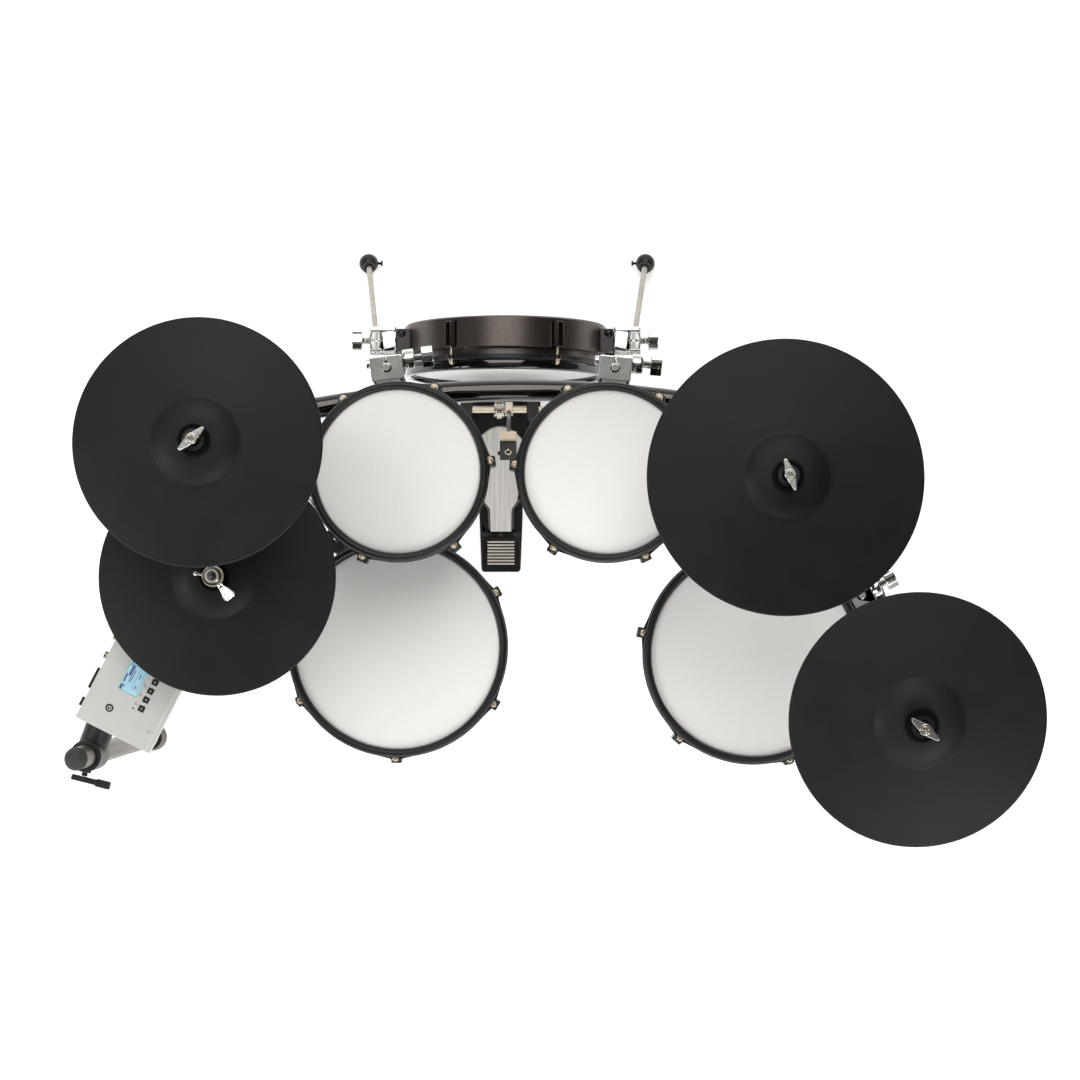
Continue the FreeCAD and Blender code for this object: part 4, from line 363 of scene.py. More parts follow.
def bevel(made, width, segments=2, angle_deg=35.0):
    """Round a piece's crisp edges."""
    modifier = made.modifiers.new("edges", "BEVEL")
    modifier.width = width / 1000
    modifier.segments = segments
    modifier.limit_method = "ANGLE"
    modifier.angle_limit = math.radians(angle_deg)
    modifier.harden_normals = True
    modifier.use_clamp_overlap = False
    return made


def islands(bm):
    """Groups of faces that hang together, each with its box."""
    left = set(bm.faces)
    groups = []
    while left:
        group = []
        stack = [left.pop()]
        while stack:
            face = stack.pop()
            group.append(face)
            for edge in face.edges:
                for other in edge.link_faces:
                    if other in left:
                        left.remove(other)
                        stack.append(other)
        points = [vert.co * 1000 for face in group for vert in face.verts]
        low = Vector([min(p[i] for p in points) for i in range(3)])
        high = Vector([max(p[i] for p in points) for i in range(3)])
        groups.append((group, low, high))
    return groups


def dress(node, paint, edge=None, corner=None):
    """A merged copy of a CAD node with rounded edges.

    Paint is a finish, or picks one for each solid from its box; None leaves the solid out. Upright edges
    that corner picks get a large round.
    """
    bm = bmesh.new()
    bm.from_mesh(frame["nodes"][node].data)
    bmesh.ops.remove_doubles(bm, verts=bm.verts, dist=2e-6)
    names = []
    dropped = []
    for group, low, high in islands(bm):
        name = paint if isinstance(paint, str) else paint(low, high)
        if name is None:
            dropped += group
            continue
        if name not in names:
            names.append(name)
        for face in group:
            face.material_index = names.index(name)
    if dropped:
        bmesh.ops.delete(bm, geom=dropped, context="FACES")
    bmesh.ops.dissolve_limit(bm, angle_limit=math.radians(0.5), verts=bm.verts, edges=bm.edges,
                             delimit={"MATERIAL"})
    if corner:
        picked = [e for e in bm.edges if corner(e) and abs(e.verts[0].co.z - e.verts[1].co.z) > 0.002]
        bmesh.ops.bevel(bm, geom=picked, offset=HEEL_ROUND / 1000, segments=6, profile=0.5, affect="EDGES")
    made = piece(node + "_finished", bm, node, names, node, outward=False)
    edge = bpy.context.scene.kit_sizes.edge if edge is None else edge
    if edge:
        bevel(made, edge)
    return made


def larger(axis, limit, yes, no=None):
    """A paint for dress: one finish for solids over a limit in mm along an axis, another for the rest."""
    return lambda low, high: yes if (high - low)[axis] > limit else no


def lathe(bm, outline, place, turns=128, material=0):
    """Spin an open or closed outline of (radius, height) in mm about local Z; radius 0 makes a pole."""
    rings = []
    for radius, height in outline:
        if radius == 0:
            rings.append([bm.verts.new(place @ metres(0, 0, height))])
        else:
            rings.append([bm.verts.new(place @ metres(radius * math.cos(2 * math.pi * i / turns),
                                                      radius * math.sin(2 * math.pi * i / turns), height))
                          for i in range(turns)])
    for low, high in zip(rings, rings[1:]):
        for i in range(turns):
            j = (i + 1) % turns
            if len(low) == 1:
                corners = [low[0], high[j], high[i]]
            elif len(high) == 1:
                corners = [low[i], low[j], high[0]]
            else:
                corners = [low[i], low[j], high[j], high[i]]
            bm.faces.new(corners).material_index = material
    return rings


def ring(bm, outline, place, turns=128, material=0):
    """A closed outline spun about local Z."""
    rings = lathe(bm, outline, place, turns, material)
    for i in range(turns):
        j = (i + 1) % turns
        bm.faces.new([rings[-1][i], rings[-1][j], rings[0][j], rings[0][i]]).material_index = material


def cylinder(bm, place, radius, low, high, round_off=0.8, turns=48, material=0):
    """A solid cylinder along local Z with rounded rims."""
    soft = round_off * 0.3
    lathe(bm, [(0, low), (radius - round_off, low), (radius - soft, low + soft), (radius, low + round_off),
               (radius, high - round_off), (radius - soft, high - soft), (radius - round_off, high),
               (0, high)], place, turns, material)


def prism(bm, corners, low, high, place, material=0):
    """A flat plate from plan corners in mm, between two heights."""
    bottom = [bm.verts.new(place @ metres(x, y, low)) for x, y in corners]
    top = [bm.verts.new(place @ metres(x, y, high)) for x, y in corners]
    faces = [bm.faces.new(top), bm.faces.new(bottom[::-1])]
    for i in range(len(corners)):
        j = (i + 1) % len(corners)
        faces.append(bm.faces.new([bottom[i], bottom[j], top[j], top[i]]))
    for face in faces:
        face.material_index = material


def box(bm, place, low, high, material=0):
    """A box between two corners."""
    corners = [(low[0], low[1]), (high[0], low[1]), (high[0], high[1]), (low[0], high[1])]
    prism(bm, corners, low[2], high[2], place, material)


def loft(bm, sections, place, material=0):
    """A closed skin over sections that have equally many points."""
    rows = [[bm.verts.new(place @ (Vector(point) / 1000)) for point in section] for section in sections]
    count = len(rows[0])
    faces = [bm.faces.new(rows[0][::-1]), bm.faces.new(rows[-1])]
    for low, high in zip(rows, rows[1:]):
        for i in range(count):
            j = (i + 1) % count
            faces.append(bm.faces.new([low[i], low[j], high[j], high[i]]))
    for face in faces:
        face.material_index = material


def arc(start, middle, end, steps):
    """Points of a circular arc through three (radius, height) points, without its start."""
    (ax, ay), (bx, by), (cx, cy) = start, middle, end
    a, b, c = ax * ax + ay * ay, bx * bx + by * by, cx * cx + cy * cy
    d = 2 * (ax * (by - cy) + bx * (cy - ay) + cx * (ay - by))
    ux = (a * (by - cy) + b * (cy - ay) + c * (ay - by)) / d
    uy = (a * (cx - bx) + b * (ax - cx) + c * (bx - ax)) / d
    radius = math.hypot(ax - ux, ay - uy)
    angles = [math.atan2(y - uy, x - ux) for x, y in (start, middle, end)]
    sweep = (angles[2] - angles[0]) % (2 * math.pi)
    if (angles[1] - angles[0]) % (2 * math.pi) > sweep:
        sweep -= 2 * math.pi
    turns = [angles[0] + sweep * i / steps for i in range(1, steps + 1)]
    return [(ux + radius * math.cos(turn), uy + radius * math.sin(turn)) for turn in turns]


def upright(place):
    return Matrix.Translation(Vector(place) / 1000)


def spin(degrees, axis="Z"):
    return Matrix.Rotation(math.radians(degrees), 4, axis)


def facing(place, along, across):
    """A frame at a place in mm, with local X along the first direction and local Y along the second."""
    turn = Matrix((along, across, along.cross(across))).transposed()
    return upright(place) @ turn.to_4x4()


TO_X = spin(90, "Y")
TO_Y = spin(-90, "X")


# Cymbals

def cymbal_frame(name):
    """Where a pad rocks, with local Z along its spindle."""
    if name == "hihat":
        low, high = node_box("hihat_pad")
        return upright(((low.x + high.x) / 2, (low.y + high.y) / 2, high.z - 7.0))
    lean = UP.rotation_difference(Vector(joints[name + "_nut_turn"]["axis"]))
    return upright(joint_place(name + "_rock")) @ lean.to_matrix().to_4x4()


def pad_outline(diameter):
    """Top, edge and underside of a moulded pad, from the hole out and back, over the rocking centre."""
    hole, crown, bell, edge = 9.5, 24.0, 63.0, diameter / 2
    foot, rim, thick, lip = -8.0, -27.0, 8.0, 3.2
    haunch = (43.5, 3.4)
    top = [(hole, 5.8), (hole + 1.2, 7.0), (crown - 4, 7.0)]
    top += arc((crown - 4, 7.0), (crown + 1, 6.8), (crown + 6, 6.3), 3)
    top += arc((crown + 6, 6.3), haunch, (bell - 1.4, foot + 0.9), 10)
    top += [(bell - 0.2, foot + 0.2), (bell + 1.4, foot - 0.2)]
    middle = ((bell + edge) / 2, foot - 8.0)
    top += arc((bell + 1.4, foot - 0.2), middle, (edge - lip, rim), 22)
    top += arc((edge - lip, rim), (edge, rim - lip), (edge - lip, rim - 2 * lip), 8)
    under = arc((edge - lip, rim - 2 * lip), (middle[0], middle[1] - thick), (bell, foot - thick), 16)
    under += arc((bell, foot - thick), (haunch[0], haunch[1] - thick), (crown, 7.0 - thick), 6)
    return top + under + [(hole, 7.0 - thick)]


def make_cymbals():
    for name in ("crash_left", "ride", "crash_right", "hihat"):
        at = cymbal_frame(name)
        node = name + "_pad"
        low, high = node_box(node)
        bm = bmesh.new()
        ring(bm, pad_outline(high.x - low.x), at, 192)
        piece(node + "_moulded", bm, node, ["moulded_rubber"], node, crease_deg=50.0)
        bm = bmesh.new()
        if name == "hihat":
            ring(bm, [(9.6, -1.2), (17.4, -1.2), (18.0, -2.4), (18.0, -5.8), (17.4, -6.8), (9.6, -6.8)],
                 at, 64)
        else:
            ring(bm, [(9.6, 7.05), (23.6, 7.05), (23.9, 7.5), (23.6, 7.9), (9.6, 7.9)], at, 64, 1)
            felt = [(9.6, 7.9), (22.6, 7.9), (23.0, 8.6), (22.6, 14.6)]
            ring(bm, felt + arc((22.6, 14.6), (21.6, 17.4), (18.4, 18.4), 4) + [(9.6, 19.0)], at, 64)
            ring(bm, [(9.6, 19.2), (15.6, 19.2), (16.0, 20.0), (15.6, 21.0), (9.6, 21.0)], at, 64, 1)
            ring(bm, [(9.6, -1.2), (17.6, -1.2), (18.0, -3.0), (17.2, -9.0), (11.0, -18.6), (9.6, -18.6)],
                 at, 64)
        piece(name + "_felts", bm, node, ["wool_felt", "powder_coat"])


def make_wing_nuts():
    """Die-cast wing nuts: a turned hub with a bore, and two flat-topped wings that taper to their tips."""
    span = bpy.context.scene.kit_sizes.wing_span / 2
    base = 26.5
    for name, turn in NUT_TURNS.items():
        at = cymbal_frame(name) @ spin(turn) @ upright((0, 0, base))
        bm = bmesh.new()
        ring(bm, [(3.7, 0.0), (7.4, 0.0), (8.3, 1.0), (8.3, 15.4), (7.4, 16.4), (4.4, 16.4), (3.7, 15.6)],
             at, 48)
        ring(bm, [(3.6, 15.0), (5.0, 15.0), (5.0, 17.2), (4.5, 17.6), (3.6, 16.8)], at, 32, 1)
        for side in (1, -1):
            sections = []
            for reach, half, low in ((4.8, 6.4, 1.2), (8.6, 6.0, 1.6), (12.0, 5.1, 3.0), (16.0, 4.1, 5.0),
                                     (20.0, 3.2, 7.0), (span - 2.0, 2.7, 8.4), (span - 0.6, 1.9, 9.4),
                                     (span, 0.8, 10.4)):
                cut = min(1.0, half * 0.35)
                high = 16.0 - 0.9 * max(0.0, reach - span + 2.0)
                section = [(-half, low + cut), (-half + cut, low), (half - cut, low), (half, low + cut),
                           (half, high - cut), (half - cut, high), (-half + cut, high), (-half, high - cut)]
                sections.append([(side * reach, y, z) for y, z in section])
            loft(bm, sections, at)
        node = name + "_nut"
        made = piece(name + "_wing_nut", bm, node, ["cast_zinc", "nickel_plate"], node, crease_deg=30.0)
        bevel(made, 0.5, 2, 30.0)


# Drums

def drum_place(name):
    """The middle of a drum's head on its top face, and the radius of its bearing edge."""
    low, high = node_box(name + "_head")
    middle = (low + high) / 2
    return Vector((middle.x, middle.y, high.z)), (high.x - low.x) / 2 - FLESH_HOOP


def rim_outline(radius, rim, height):
    """Section of a hoop: rubber sleeve over a steel ring with a small lip."""
    inner, outer = radius + 0.3, radius + rim
    sleeve = [(outer - 2.4, -8.6)] + arc((outer - 2.4, -8.6), (outer - 0.5, -5.6), (outer, -2.0), 4)
    sleeve += [(outer, height * 0.3)]
    sleeve += arc((outer, height * 0.3), ((inner + outer) / 2, height), (inner, height * 0.3), 10)
    sleeve += [(inner, -4.6), (inner + 0.8, -5.8)]
    steel = [(outer - 2.9, -5.9), (outer - 0.5, -8.8), (outer + 0.9, -9.6), (outer + 1.5, -10.4),
             (outer + 1.5, -16.4), (outer + 0.9, -17.0), (outer - 2.9, -17.0)]
    return sleeve, steel


def make_head(name, node, place, radius):
    """A mesh head with a rounded skirt and its flesh hoop."""
    bm = bmesh.new()
    outline = [(0, 0.0), (radius * 0.5, 0.0), (radius - 12, 0.0), (radius - 3.0, -0.1), (radius - 1.0, -0.5),
               (radius - 0.2, -1.4), (radius - 0.1, -5.9), (radius + 4.9, -6.1), (radius + 4.9, -12.9),
               (radius - 1.2, -12.9), (radius - 1.2, -1.4), (0, -1.2)]
    lathe(bm, outline, place, 160)
    piece(name, bm, node, ["woven_mesh_head"], node, crease_deg=40.0)


def make_hoop(name, node, place, radius, first_deg, sleeve_finish):
    """The hoop with its rubber sleeve, and a gusseted ear at every lug."""
    sizes = bpy.context.scene.kit_sizes
    outer = radius + sizes.rim_width
    sleeve, steel = rim_outline(radius, sizes.rim_width, sizes.rim_height)
    bm = bmesh.new()
    ring(bm, sleeve, place, 192, 0)
    ring(bm, steel, place, 192, 1)
    middle = outer + sizes.ear_reach
    gusset = math.radians(sizes.ear_spread) * EAR_HEAD / radius
    for lug in range(sizes.lug_count):
        turn = math.radians(first_deg + 360 / sizes.lug_count * lug)
        corners = []
        for share in (-1, -0.5, 0, 0.5, 1):
            angle = turn - share * gusset
            corners.append(((outer + 1.2) * math.cos(angle), (outer + 1.2) * math.sin(angle)))
        for step in range(9):
            angle = turn + math.radians(-80 + 20 * step)
            corners.append((middle * math.cos(turn) + EAR_END * math.cos(angle),
                            middle * math.sin(turn) + EAR_END * math.sin(angle)))
        prism(bm, corners, EAR_LOW, EAR_TOP, place, 1)
    bevel(piece(name, bm, node, [sleeve_finish, "powder_coat"], node), 0.8, 3, 50.0)


def rod_tree():
    """Geometry Nodes, in metres: a keyed tension rod with its washer on every point of a circle."""
    tree = bpy.data.node_groups.new("tension_rods", "GeometryNodeTree")
    for name, kind, value in (("Lugs", "NodeSocketInt", 6), ("Radius", "NodeSocketFloat", 0.1445),
                              ("Key", "NodeSocketFloat", 0.0046), ("Washer", "NodeSocketFloat", 0.0116)):
        socket = tree.interface.new_socket(name, in_out="INPUT", socket_type=kind)
        socket.default_value = value
    tree.interface.new_socket("Material", in_out="INPUT", socket_type="NodeSocketMaterial")
    tree.interface.new_socket("Geometry", in_out="OUTPUT", socket_type="NodeSocketGeometry")
    given = add(tree, "NodeGroupInput").outputs
    circle = add(tree, "GeometryNodeMeshCircle", {"Vertices": given["Lugs"], "Radius": given["Radius"]})
    half = add(tree, "ShaderNodeMath", {0: given["Washer"], 1: 0.5}, operation="MULTIPLY").outputs[0]
    washer = add(tree, "GeometryNodeMeshCylinder", {"Vertices": 28, "Radius": half, "Depth": 0.0018})
    ball_radius = add(tree, "ShaderNodeMath", {0: given["Washer"], 1: 0.38}, operation="MULTIPLY").outputs[0]
    ball = add(tree, "GeometryNodeMeshUVSphere", {"Segments": 28, "Rings": 14, "Radius": ball_radius})
    size = add(tree, "ShaderNodeCombineXYZ", {"X": given["Key"], "Y": given["Key"], "Z": 0.0042})
    key = add(tree, "GeometryNodeMeshCube", {"Size": size.outputs["Vector"]})
    shaft = add(tree, "GeometryNodeMeshCylinder", {"Vertices": 16, "Radius": 0.0025, "Depth": 0.034})
    head = add(tree, "GeometryNodeJoinGeometry")
    for made, height in ((washer, 0.0010), (ball, 0.0040), (key, 0.0076), (shaft, -0.0170)):
        part = add(tree, "GeometryNodeTransform", {"Geometry": made.outputs["Mesh"],
                                                   "Translation": (0, 0, height)})
        tree.links.new(part.outputs["Geometry"], head.inputs["Geometry"])
    places = add(tree, "GeometryNodeInstanceOnPoints", {"Points": circle.outputs["Mesh"],
                                                        "Instance": head.outputs["Geometry"]})
    real = add(tree, "GeometryNodeRealizeInstances", {"Geometry": places.outputs["Instances"]})
    done = add(tree, "GeometryNodeSetMaterial", {"Geometry": real.outputs["Geometry"],
                                                 "Material": given["Material"]})
    add(tree, "NodeGroupOutput", {"Geometry": done.outputs["Geometry"]})
    return tree


def grown(name, tree, inputs):
    """The plain mesh that a Geometry Nodes tree makes."""
    holder = bpy.data.objects.new(name, bpy.data.meshes.new(name))
    bpy.context.scene.collection.objects.link(holder)
    modifier = holder.modifiers.new("grow", "NODES")
    modifier.node_group = tree
    for item in tree.interface.items_tree:
        if item.in_out == "INPUT" and item.name in inputs:
            modifier[item.identifier] = inputs[item.name]
    evaluated = holder.evaluated_get(bpy.context.evaluated_depsgraph_get())
    mesh = bpy.data.meshes.new_from_object(evaluated)
    bpy.data.objects.remove(holder)
    return mesh


def make_rods(name, node, place, radius, first_deg, tree):
    """Tension rods on their ears, as one piece."""
    sizes = bpy.context.scene.kit_sizes
    circle = radius + sizes.rim_width + sizes.ear_reach
    mesh = grown(name, tree, {"Lugs": sizes.lug_count, "Radius": circle / 1000,
                              "Material": finish("nickel_plate")})
    mesh.transform(place @ spin(first_deg) @ upright((0, 0, EAR_TOP)))
    bm = bmesh.new()
    bm.from_mesh(mesh)
    bpy.data.meshes.remove(mesh)
    bevel(piece(name, bm, node, ["nickel_plate"], node), 0.35, 2)


def make_lugs(name, node, place, radius, first_deg, casing, coat):
    """Cast lug casings along a shell, one to a tension rod."""
    count = bpy.context.scene.kit_sizes.lug_count
    low, high = [(radius + x, y, z) for x, y, z in casing]
    bm = bmesh.new()
    for lug in range(count):
        box(bm, place @ spin(first_deg + 360 / count * lug), low, high)
    bevel(piece(name, bm, node, [coat]), 2.0, 3)


def knob(bm, at, barrel, reach, ridge, turn_deg):
    """A clamp's knob along local X from its face: barrel, stem, and a ridged grip turned on the stem."""
    half = bpy.context.scene.kit_sizes.grip_span / 2
    if barrel:
        cylinder(bm, at @ TO_X, 15.5, 0.2, barrel, 1.6)
        cylinder(bm, at @ TO_X, 4.0, -50.0, 1.0, 0.5, 24)
    cylinder(bm, at @ TO_X, 6.0, 0.2, reach + 3.0, 0.8, 32)
    section = [(-half, -4.0), (-half, 2.0), (-half + 1.5, 3.5), (half * ridge, 7.5), (half - 1.5, 3.5),
               (half, 2.0), (half, -4.0), (half - 1.5, -5.5), (-half + 1.5, -5.5)]
    loft(bm, [[(x, y, z) for y, z in section] for x in (reach, reach + 18.0)], at @ spin(turn_deg, "X"))


def bracket_paint(low, high):
    """Keeps the bracket and its nut; its knob and the tension rods are made here."""
    return "chrome_plate" if not 20.0 < high.z - low.z < 50.0 else None


def make_drums():
    tree = rod_tree()
    for name, first in FIRST_LUGS.items():
        place, radius = drum_place(name)
        at = upright(place)
        node = name + "_fittings"
        make_head(name + "_mesh_head", name + "_head", at, radius)
        make_hoop(name + "_rim", name + "_hoop", at, radius, first, "rim_rubber")
        make_rods(name + "_rods", node, at, radius, first, tree)
        bevel(dress(node, bracket_paint, 0.0), 1.5, 3)
        axis = joint_place(name + "_swivel")
        out = Vector((axis.x - place.x, axis.y - place.y, 0)).normalized()
        along = out.cross(UP)
        face = axis - UP * KNOB_DROP
        if name == "floor_tom":
            spot, barrel = facing(face + out * 19.0, out, UP.cross(out)), 17.0
        else:
            spot, barrel = facing(face + out * 12.5 + along * 25.5, along, out), 18.0
        bm = bmesh.new()
        knob(bm, spot, barrel, reach=30.0, ridge=0.3, turn_deg=KNOB_TURNS[name])
        bevel(piece(name + "_knob", bm, node, ["chrome_plate"]), 1.2, 3)
        node = name + "_shell"
        dress(node, larger(0, 100, "powder_coat"), 0.8)
        make_lugs(name + "_lugs", node, at, radius, first, LUG_CASING, "powder_coat")
        dress(name + "_trigger", "sensor_foam", 0.0)


# Kick

def spur_frame(name):
    """A spur's pivot, with local X away from the kick."""
    return upright(joint_place(name + "_fold")) @ Matrix.Scale(SPUR_SIDES[name], 4, RIGHT)


def make_spur(name, ridge, turn_deg):
    """A spur's chrome clamp on its pivot: split body, leg sleeve, lid, knob, and the foot's screw."""
    def paint(low, high):
        size = high - low
        if size.y > 100:
            return "leg_paint"
        return "filled_nylon" if low.z < 10 and size.z > 20 else None

    dress(name, paint, 0.6)
    at = spur_frame(name)
    bm = bmesh.new()
    box(bm, at, (-9.0, -25.0, -20.0), (37.4, 25.0, 2.0))
    cylinder(bm, at @ upright((25.0, 0, 4.0)) @ TO_Y, 12.4, -17.0, 15.0, 1.2)
    box(bm, at @ spin(-7) @ spin(-16, "X"), (-8.0, -17.0, -2.0), (14.0, 13.0, 15.0))
    box(bm, at, (-8.0, 16.4, 2.0), (36.0, 24.0, 13.0))
    box(bm, at, (14.0, -24.0, 2.0), (22.0, -18.2, 9.0))
    box(bm, at, (27.0, -24.0, 2.0), (35.0, -18.2, 7.5))
    knob(bm, at @ upright((37.4, 0, 0)), barrel=0.0, reach=13.0, ridge=ridge, turn_deg=turn_deg)
    foot = at @ upright((56.0, 171.0, -247.5))
    cylinder(bm, foot @ TO_X, 2.4, -24.0, -16.0, 0.4, 20, 1)
    box(bm, foot, (-26.0, -5.0, -2.0), (-22.4, 5.0, 2.0), 1)
    bevel(piece(name + "_clamp", bm, name, ["chrome_plate", "powder_coat"]), 1.4, 3)


def make_spur_mounts():
    """Grey castings between the shell and the spur clamps, each with a round ear over its stud."""
    bm = bmesh.new()
    dome = [(8.0 * math.cos(math.pi * i / 12), 14.0 + 6.0 * math.sin(math.pi * i / 12)) for i in range(6)]
    for name in SPUR_SIDES:
        at = spur_frame(name)
        box(bm, at, (-34.0, -20.0, -20.0), (-10.0, 20.0, 16.0))
        lathe(bm, [(0, -10.0), (8.0, -10.0)] + dome + [(0, 20.0)], at @ upright((-19.0, 12.0, 0)), 32, 1)
    made = piece("spur_castings", bm, "spur_mounts", ["mount_grey", "powder_coat"], "spur_mounts")
    bevel(made, 1.2, 3)


def make_kick():
    low, high = node_box("kick_head")
    middle = (low + high) / 2
    at = upright((middle.x, low.y, middle.z)) @ spin(90, "X")
    radius = (high.x - low.x) / 2 - FLESH_HOOP
    make_head("kick_mesh_head", "kick_head", at, radius)
    make_hoop("kick_rim", "kick_hoop", at, radius, 0.0, "hoop_gloss")
    make_rods("kick_tension_rods", "kick_rods", at, radius, 0.0, bpy.data.node_groups["tension_rods"])
    dress("kick_shell", larger(0, 200, "kick_wrap"), 0.8)
    make_lugs("kick_lugs", "kick_shell", at, radius, 0.0, KICK_LUG_CASING, "hoop_gloss")
    dress("kick_trigger", "sensor_foam", 0.0)
    make_spur_mounts()
    make_spur("spur_left", ridge=-0.3, turn_deg=0.0)
    make_spur("spur_right", ridge=0.3, turn_deg=15.0)


# Rack, pedal, hi-hat

def make_rack():
    dress("posts", "anodised_tube", 0.4)
    dress("post_feet", "foot_rubber", 1.2)
    dress("post_fittings", lambda low, high: "cap_plastic" if high.z > CAP_HEIGHT else "filled_nylon", 0.8)
    dress("rack_bars", "black_lacquer", 0.5)
    handle = Vector(HANDLE_PLACE)
    node = "rack_clamps"
    dress(node, lambda low, high: None if ((low + high) / 2 - handle).length < 4 else "filled_nylon", 1.2)
    lever = upright(handle) @ spin(HANDLE_TURN)
    bm = bmesh.new()
    box(bm, lever, (-31.0, -4.4, -4.4), (10.0, 4.4, 4.4))
    box(bm, lever, (9.0, -6.0, -6.0), (32.0, 6.0, 6.0))
    bevel(piece("left_lever", bm, node, ["filled_nylon"]), 1.2, 3)
    dress("drum_rods", "chrome_plate", 0.9)
    dress("cymbal_arms", "chrome_plate", 0.6)


def ease(value, start, run):
    """A smooth step from 0 at a start to 1 after a run."""
    share = min(max((value - start) / run, 0.0), 1.0)
    return share * share * (3 - 2 * share)


def board_half(along):
    """Half the footboard's width at a length from its hinge: narrow heel, two flares and a rounded toe."""
    half = 19.0 + along * 0.02 + 10.5 * ease(along, 50.0, 22.0) + 15.5 * ease(along, 74.0, 64.0)
    toe = min(max(0.0, (along - 165.0) / 53.0), 1.0)
    return half * (1.0 - toe ** 1.8) ** 0.6


def make_footboard():
    """The brushed board with its rounded toe, rubber edges, hinge knuckle and chain hook."""
    slope = math.radians(BOARD_SLOPE)
    along = Vector((0, math.cos(slope), math.sin(slope)))
    hinge = joint_place("kick_pedal_press")
    at = facing(hinge, RIGHT, along)
    stops = [7.0 + 2.0 * i for i in range(86)] + [179.0 + 3.0 * i for i in range(13)] + [217.4]
    right = [(board_half(stop), stop) for stop in stops]
    bm = bmesh.new()
    prism(bm, right + [(-x, y) for x, y in reversed(right)], 0.0, 5.0, at, 0)
    for side in (1, -1):
        sections = []
        for stop in range(12, 76, 2):
            inner = board_half(stop)
            lean = board_half(stop + 1) - board_half(stop - 1)
            wide = 3.8 * math.hypot(1.0, lean / 2)
            points = [(inner - 0.4, 0.4), (inner + wide, 0.4), (inner + wide, 4.4),
                      (inner + wide * 0.8, 5.8), (inner + wide * 0.25, 5.9), (inner - 0.4, 5.1)]
            sections.append([(side * x, stop, z) for x, z in points])
        loft(bm, sections, at, 1)
    cylinder(bm, upright(hinge) @ TO_X, 5.4, -18.5, 18.5, 0.6, 32, 2)
    low, high = node_box("pedal_chain")
    box(bm, upright((0, 0, low.z)), (hinge.x - 4.5, hinge.y + 140.0, -5.0), (hinge.x + 4.5, high.y, -0.1), 2)
    node = "pedal_footboard"
    made = piece("pedal_board", bm, node, ["brushed_aluminium", "edge_rubber", "filled_nylon"], node)
    bevel(made, 0.6, 2, 40.0)


def make_beater():
    """The beater: rod through the hub, black block with a screw, felt on its face."""
    lean = math.radians(BEATER_LEAN)
    stick = Vector((0, -math.sin(lean), math.cos(lean)))
    ahead = Vector((0, math.cos(lean), math.sin(lean)))
    hub = joint_place("beater_swing") + RIGHT * BEATER_OFFSET
    at = facing(hub + stick * BEATER_RADIUS, RIGHT, ahead)
    screw = at @ upright((0, -3.5, 0))
    bm = bmesh.new()
    box(bm, at, (-14.5, -20.5, -17.5), (14.5, 12.5, 17.5), 0)
    box(bm, at, (-14.2, 12.5, -17.2), (14.2, 18.5, 9.0), 1)
    ring(bm, [(3.4, 17.4), (5.6, 17.4), (5.6, 18.4), (5.0, 18.9), (3.9, 18.9), (3.4, 18.2)], screw, 32, 2)
    cylinder(bm, screw, 3.2, 16.0, 17.7, 0.3, 24, 0)
    cylinder(bm, facing(hub, RIGHT, ahead), 3.6, -36.0, BEATER_RADIUS - 10.0, 0.8, 32, 3)
    node = "pedal_beater"
    coats = ["filled_nylon", "beater_felt", "nickel_plate", "zinc_steel"]
    bevel(piece("pedal_beater_head", bm, node, coats, node), 1.4, 3)


def make_pedal():
    heel = node_box("pedal_frame")[0].y + 0.5
    dress("pedal_frame", larger(2, 2.5, "powder_coat", "grip_strip"), 0.9,
          lambda edge: all(vert.co.y * 1000 < heel for vert in edge.verts))
    make_footboard()
    make_beater()
    dress("pedal_axle", "nickel_plate", 0.5)
    dress("pedal_chain", "chrome_plate", 0.25)
    dress("pedal_spring", "zinc_steel", 0.0)


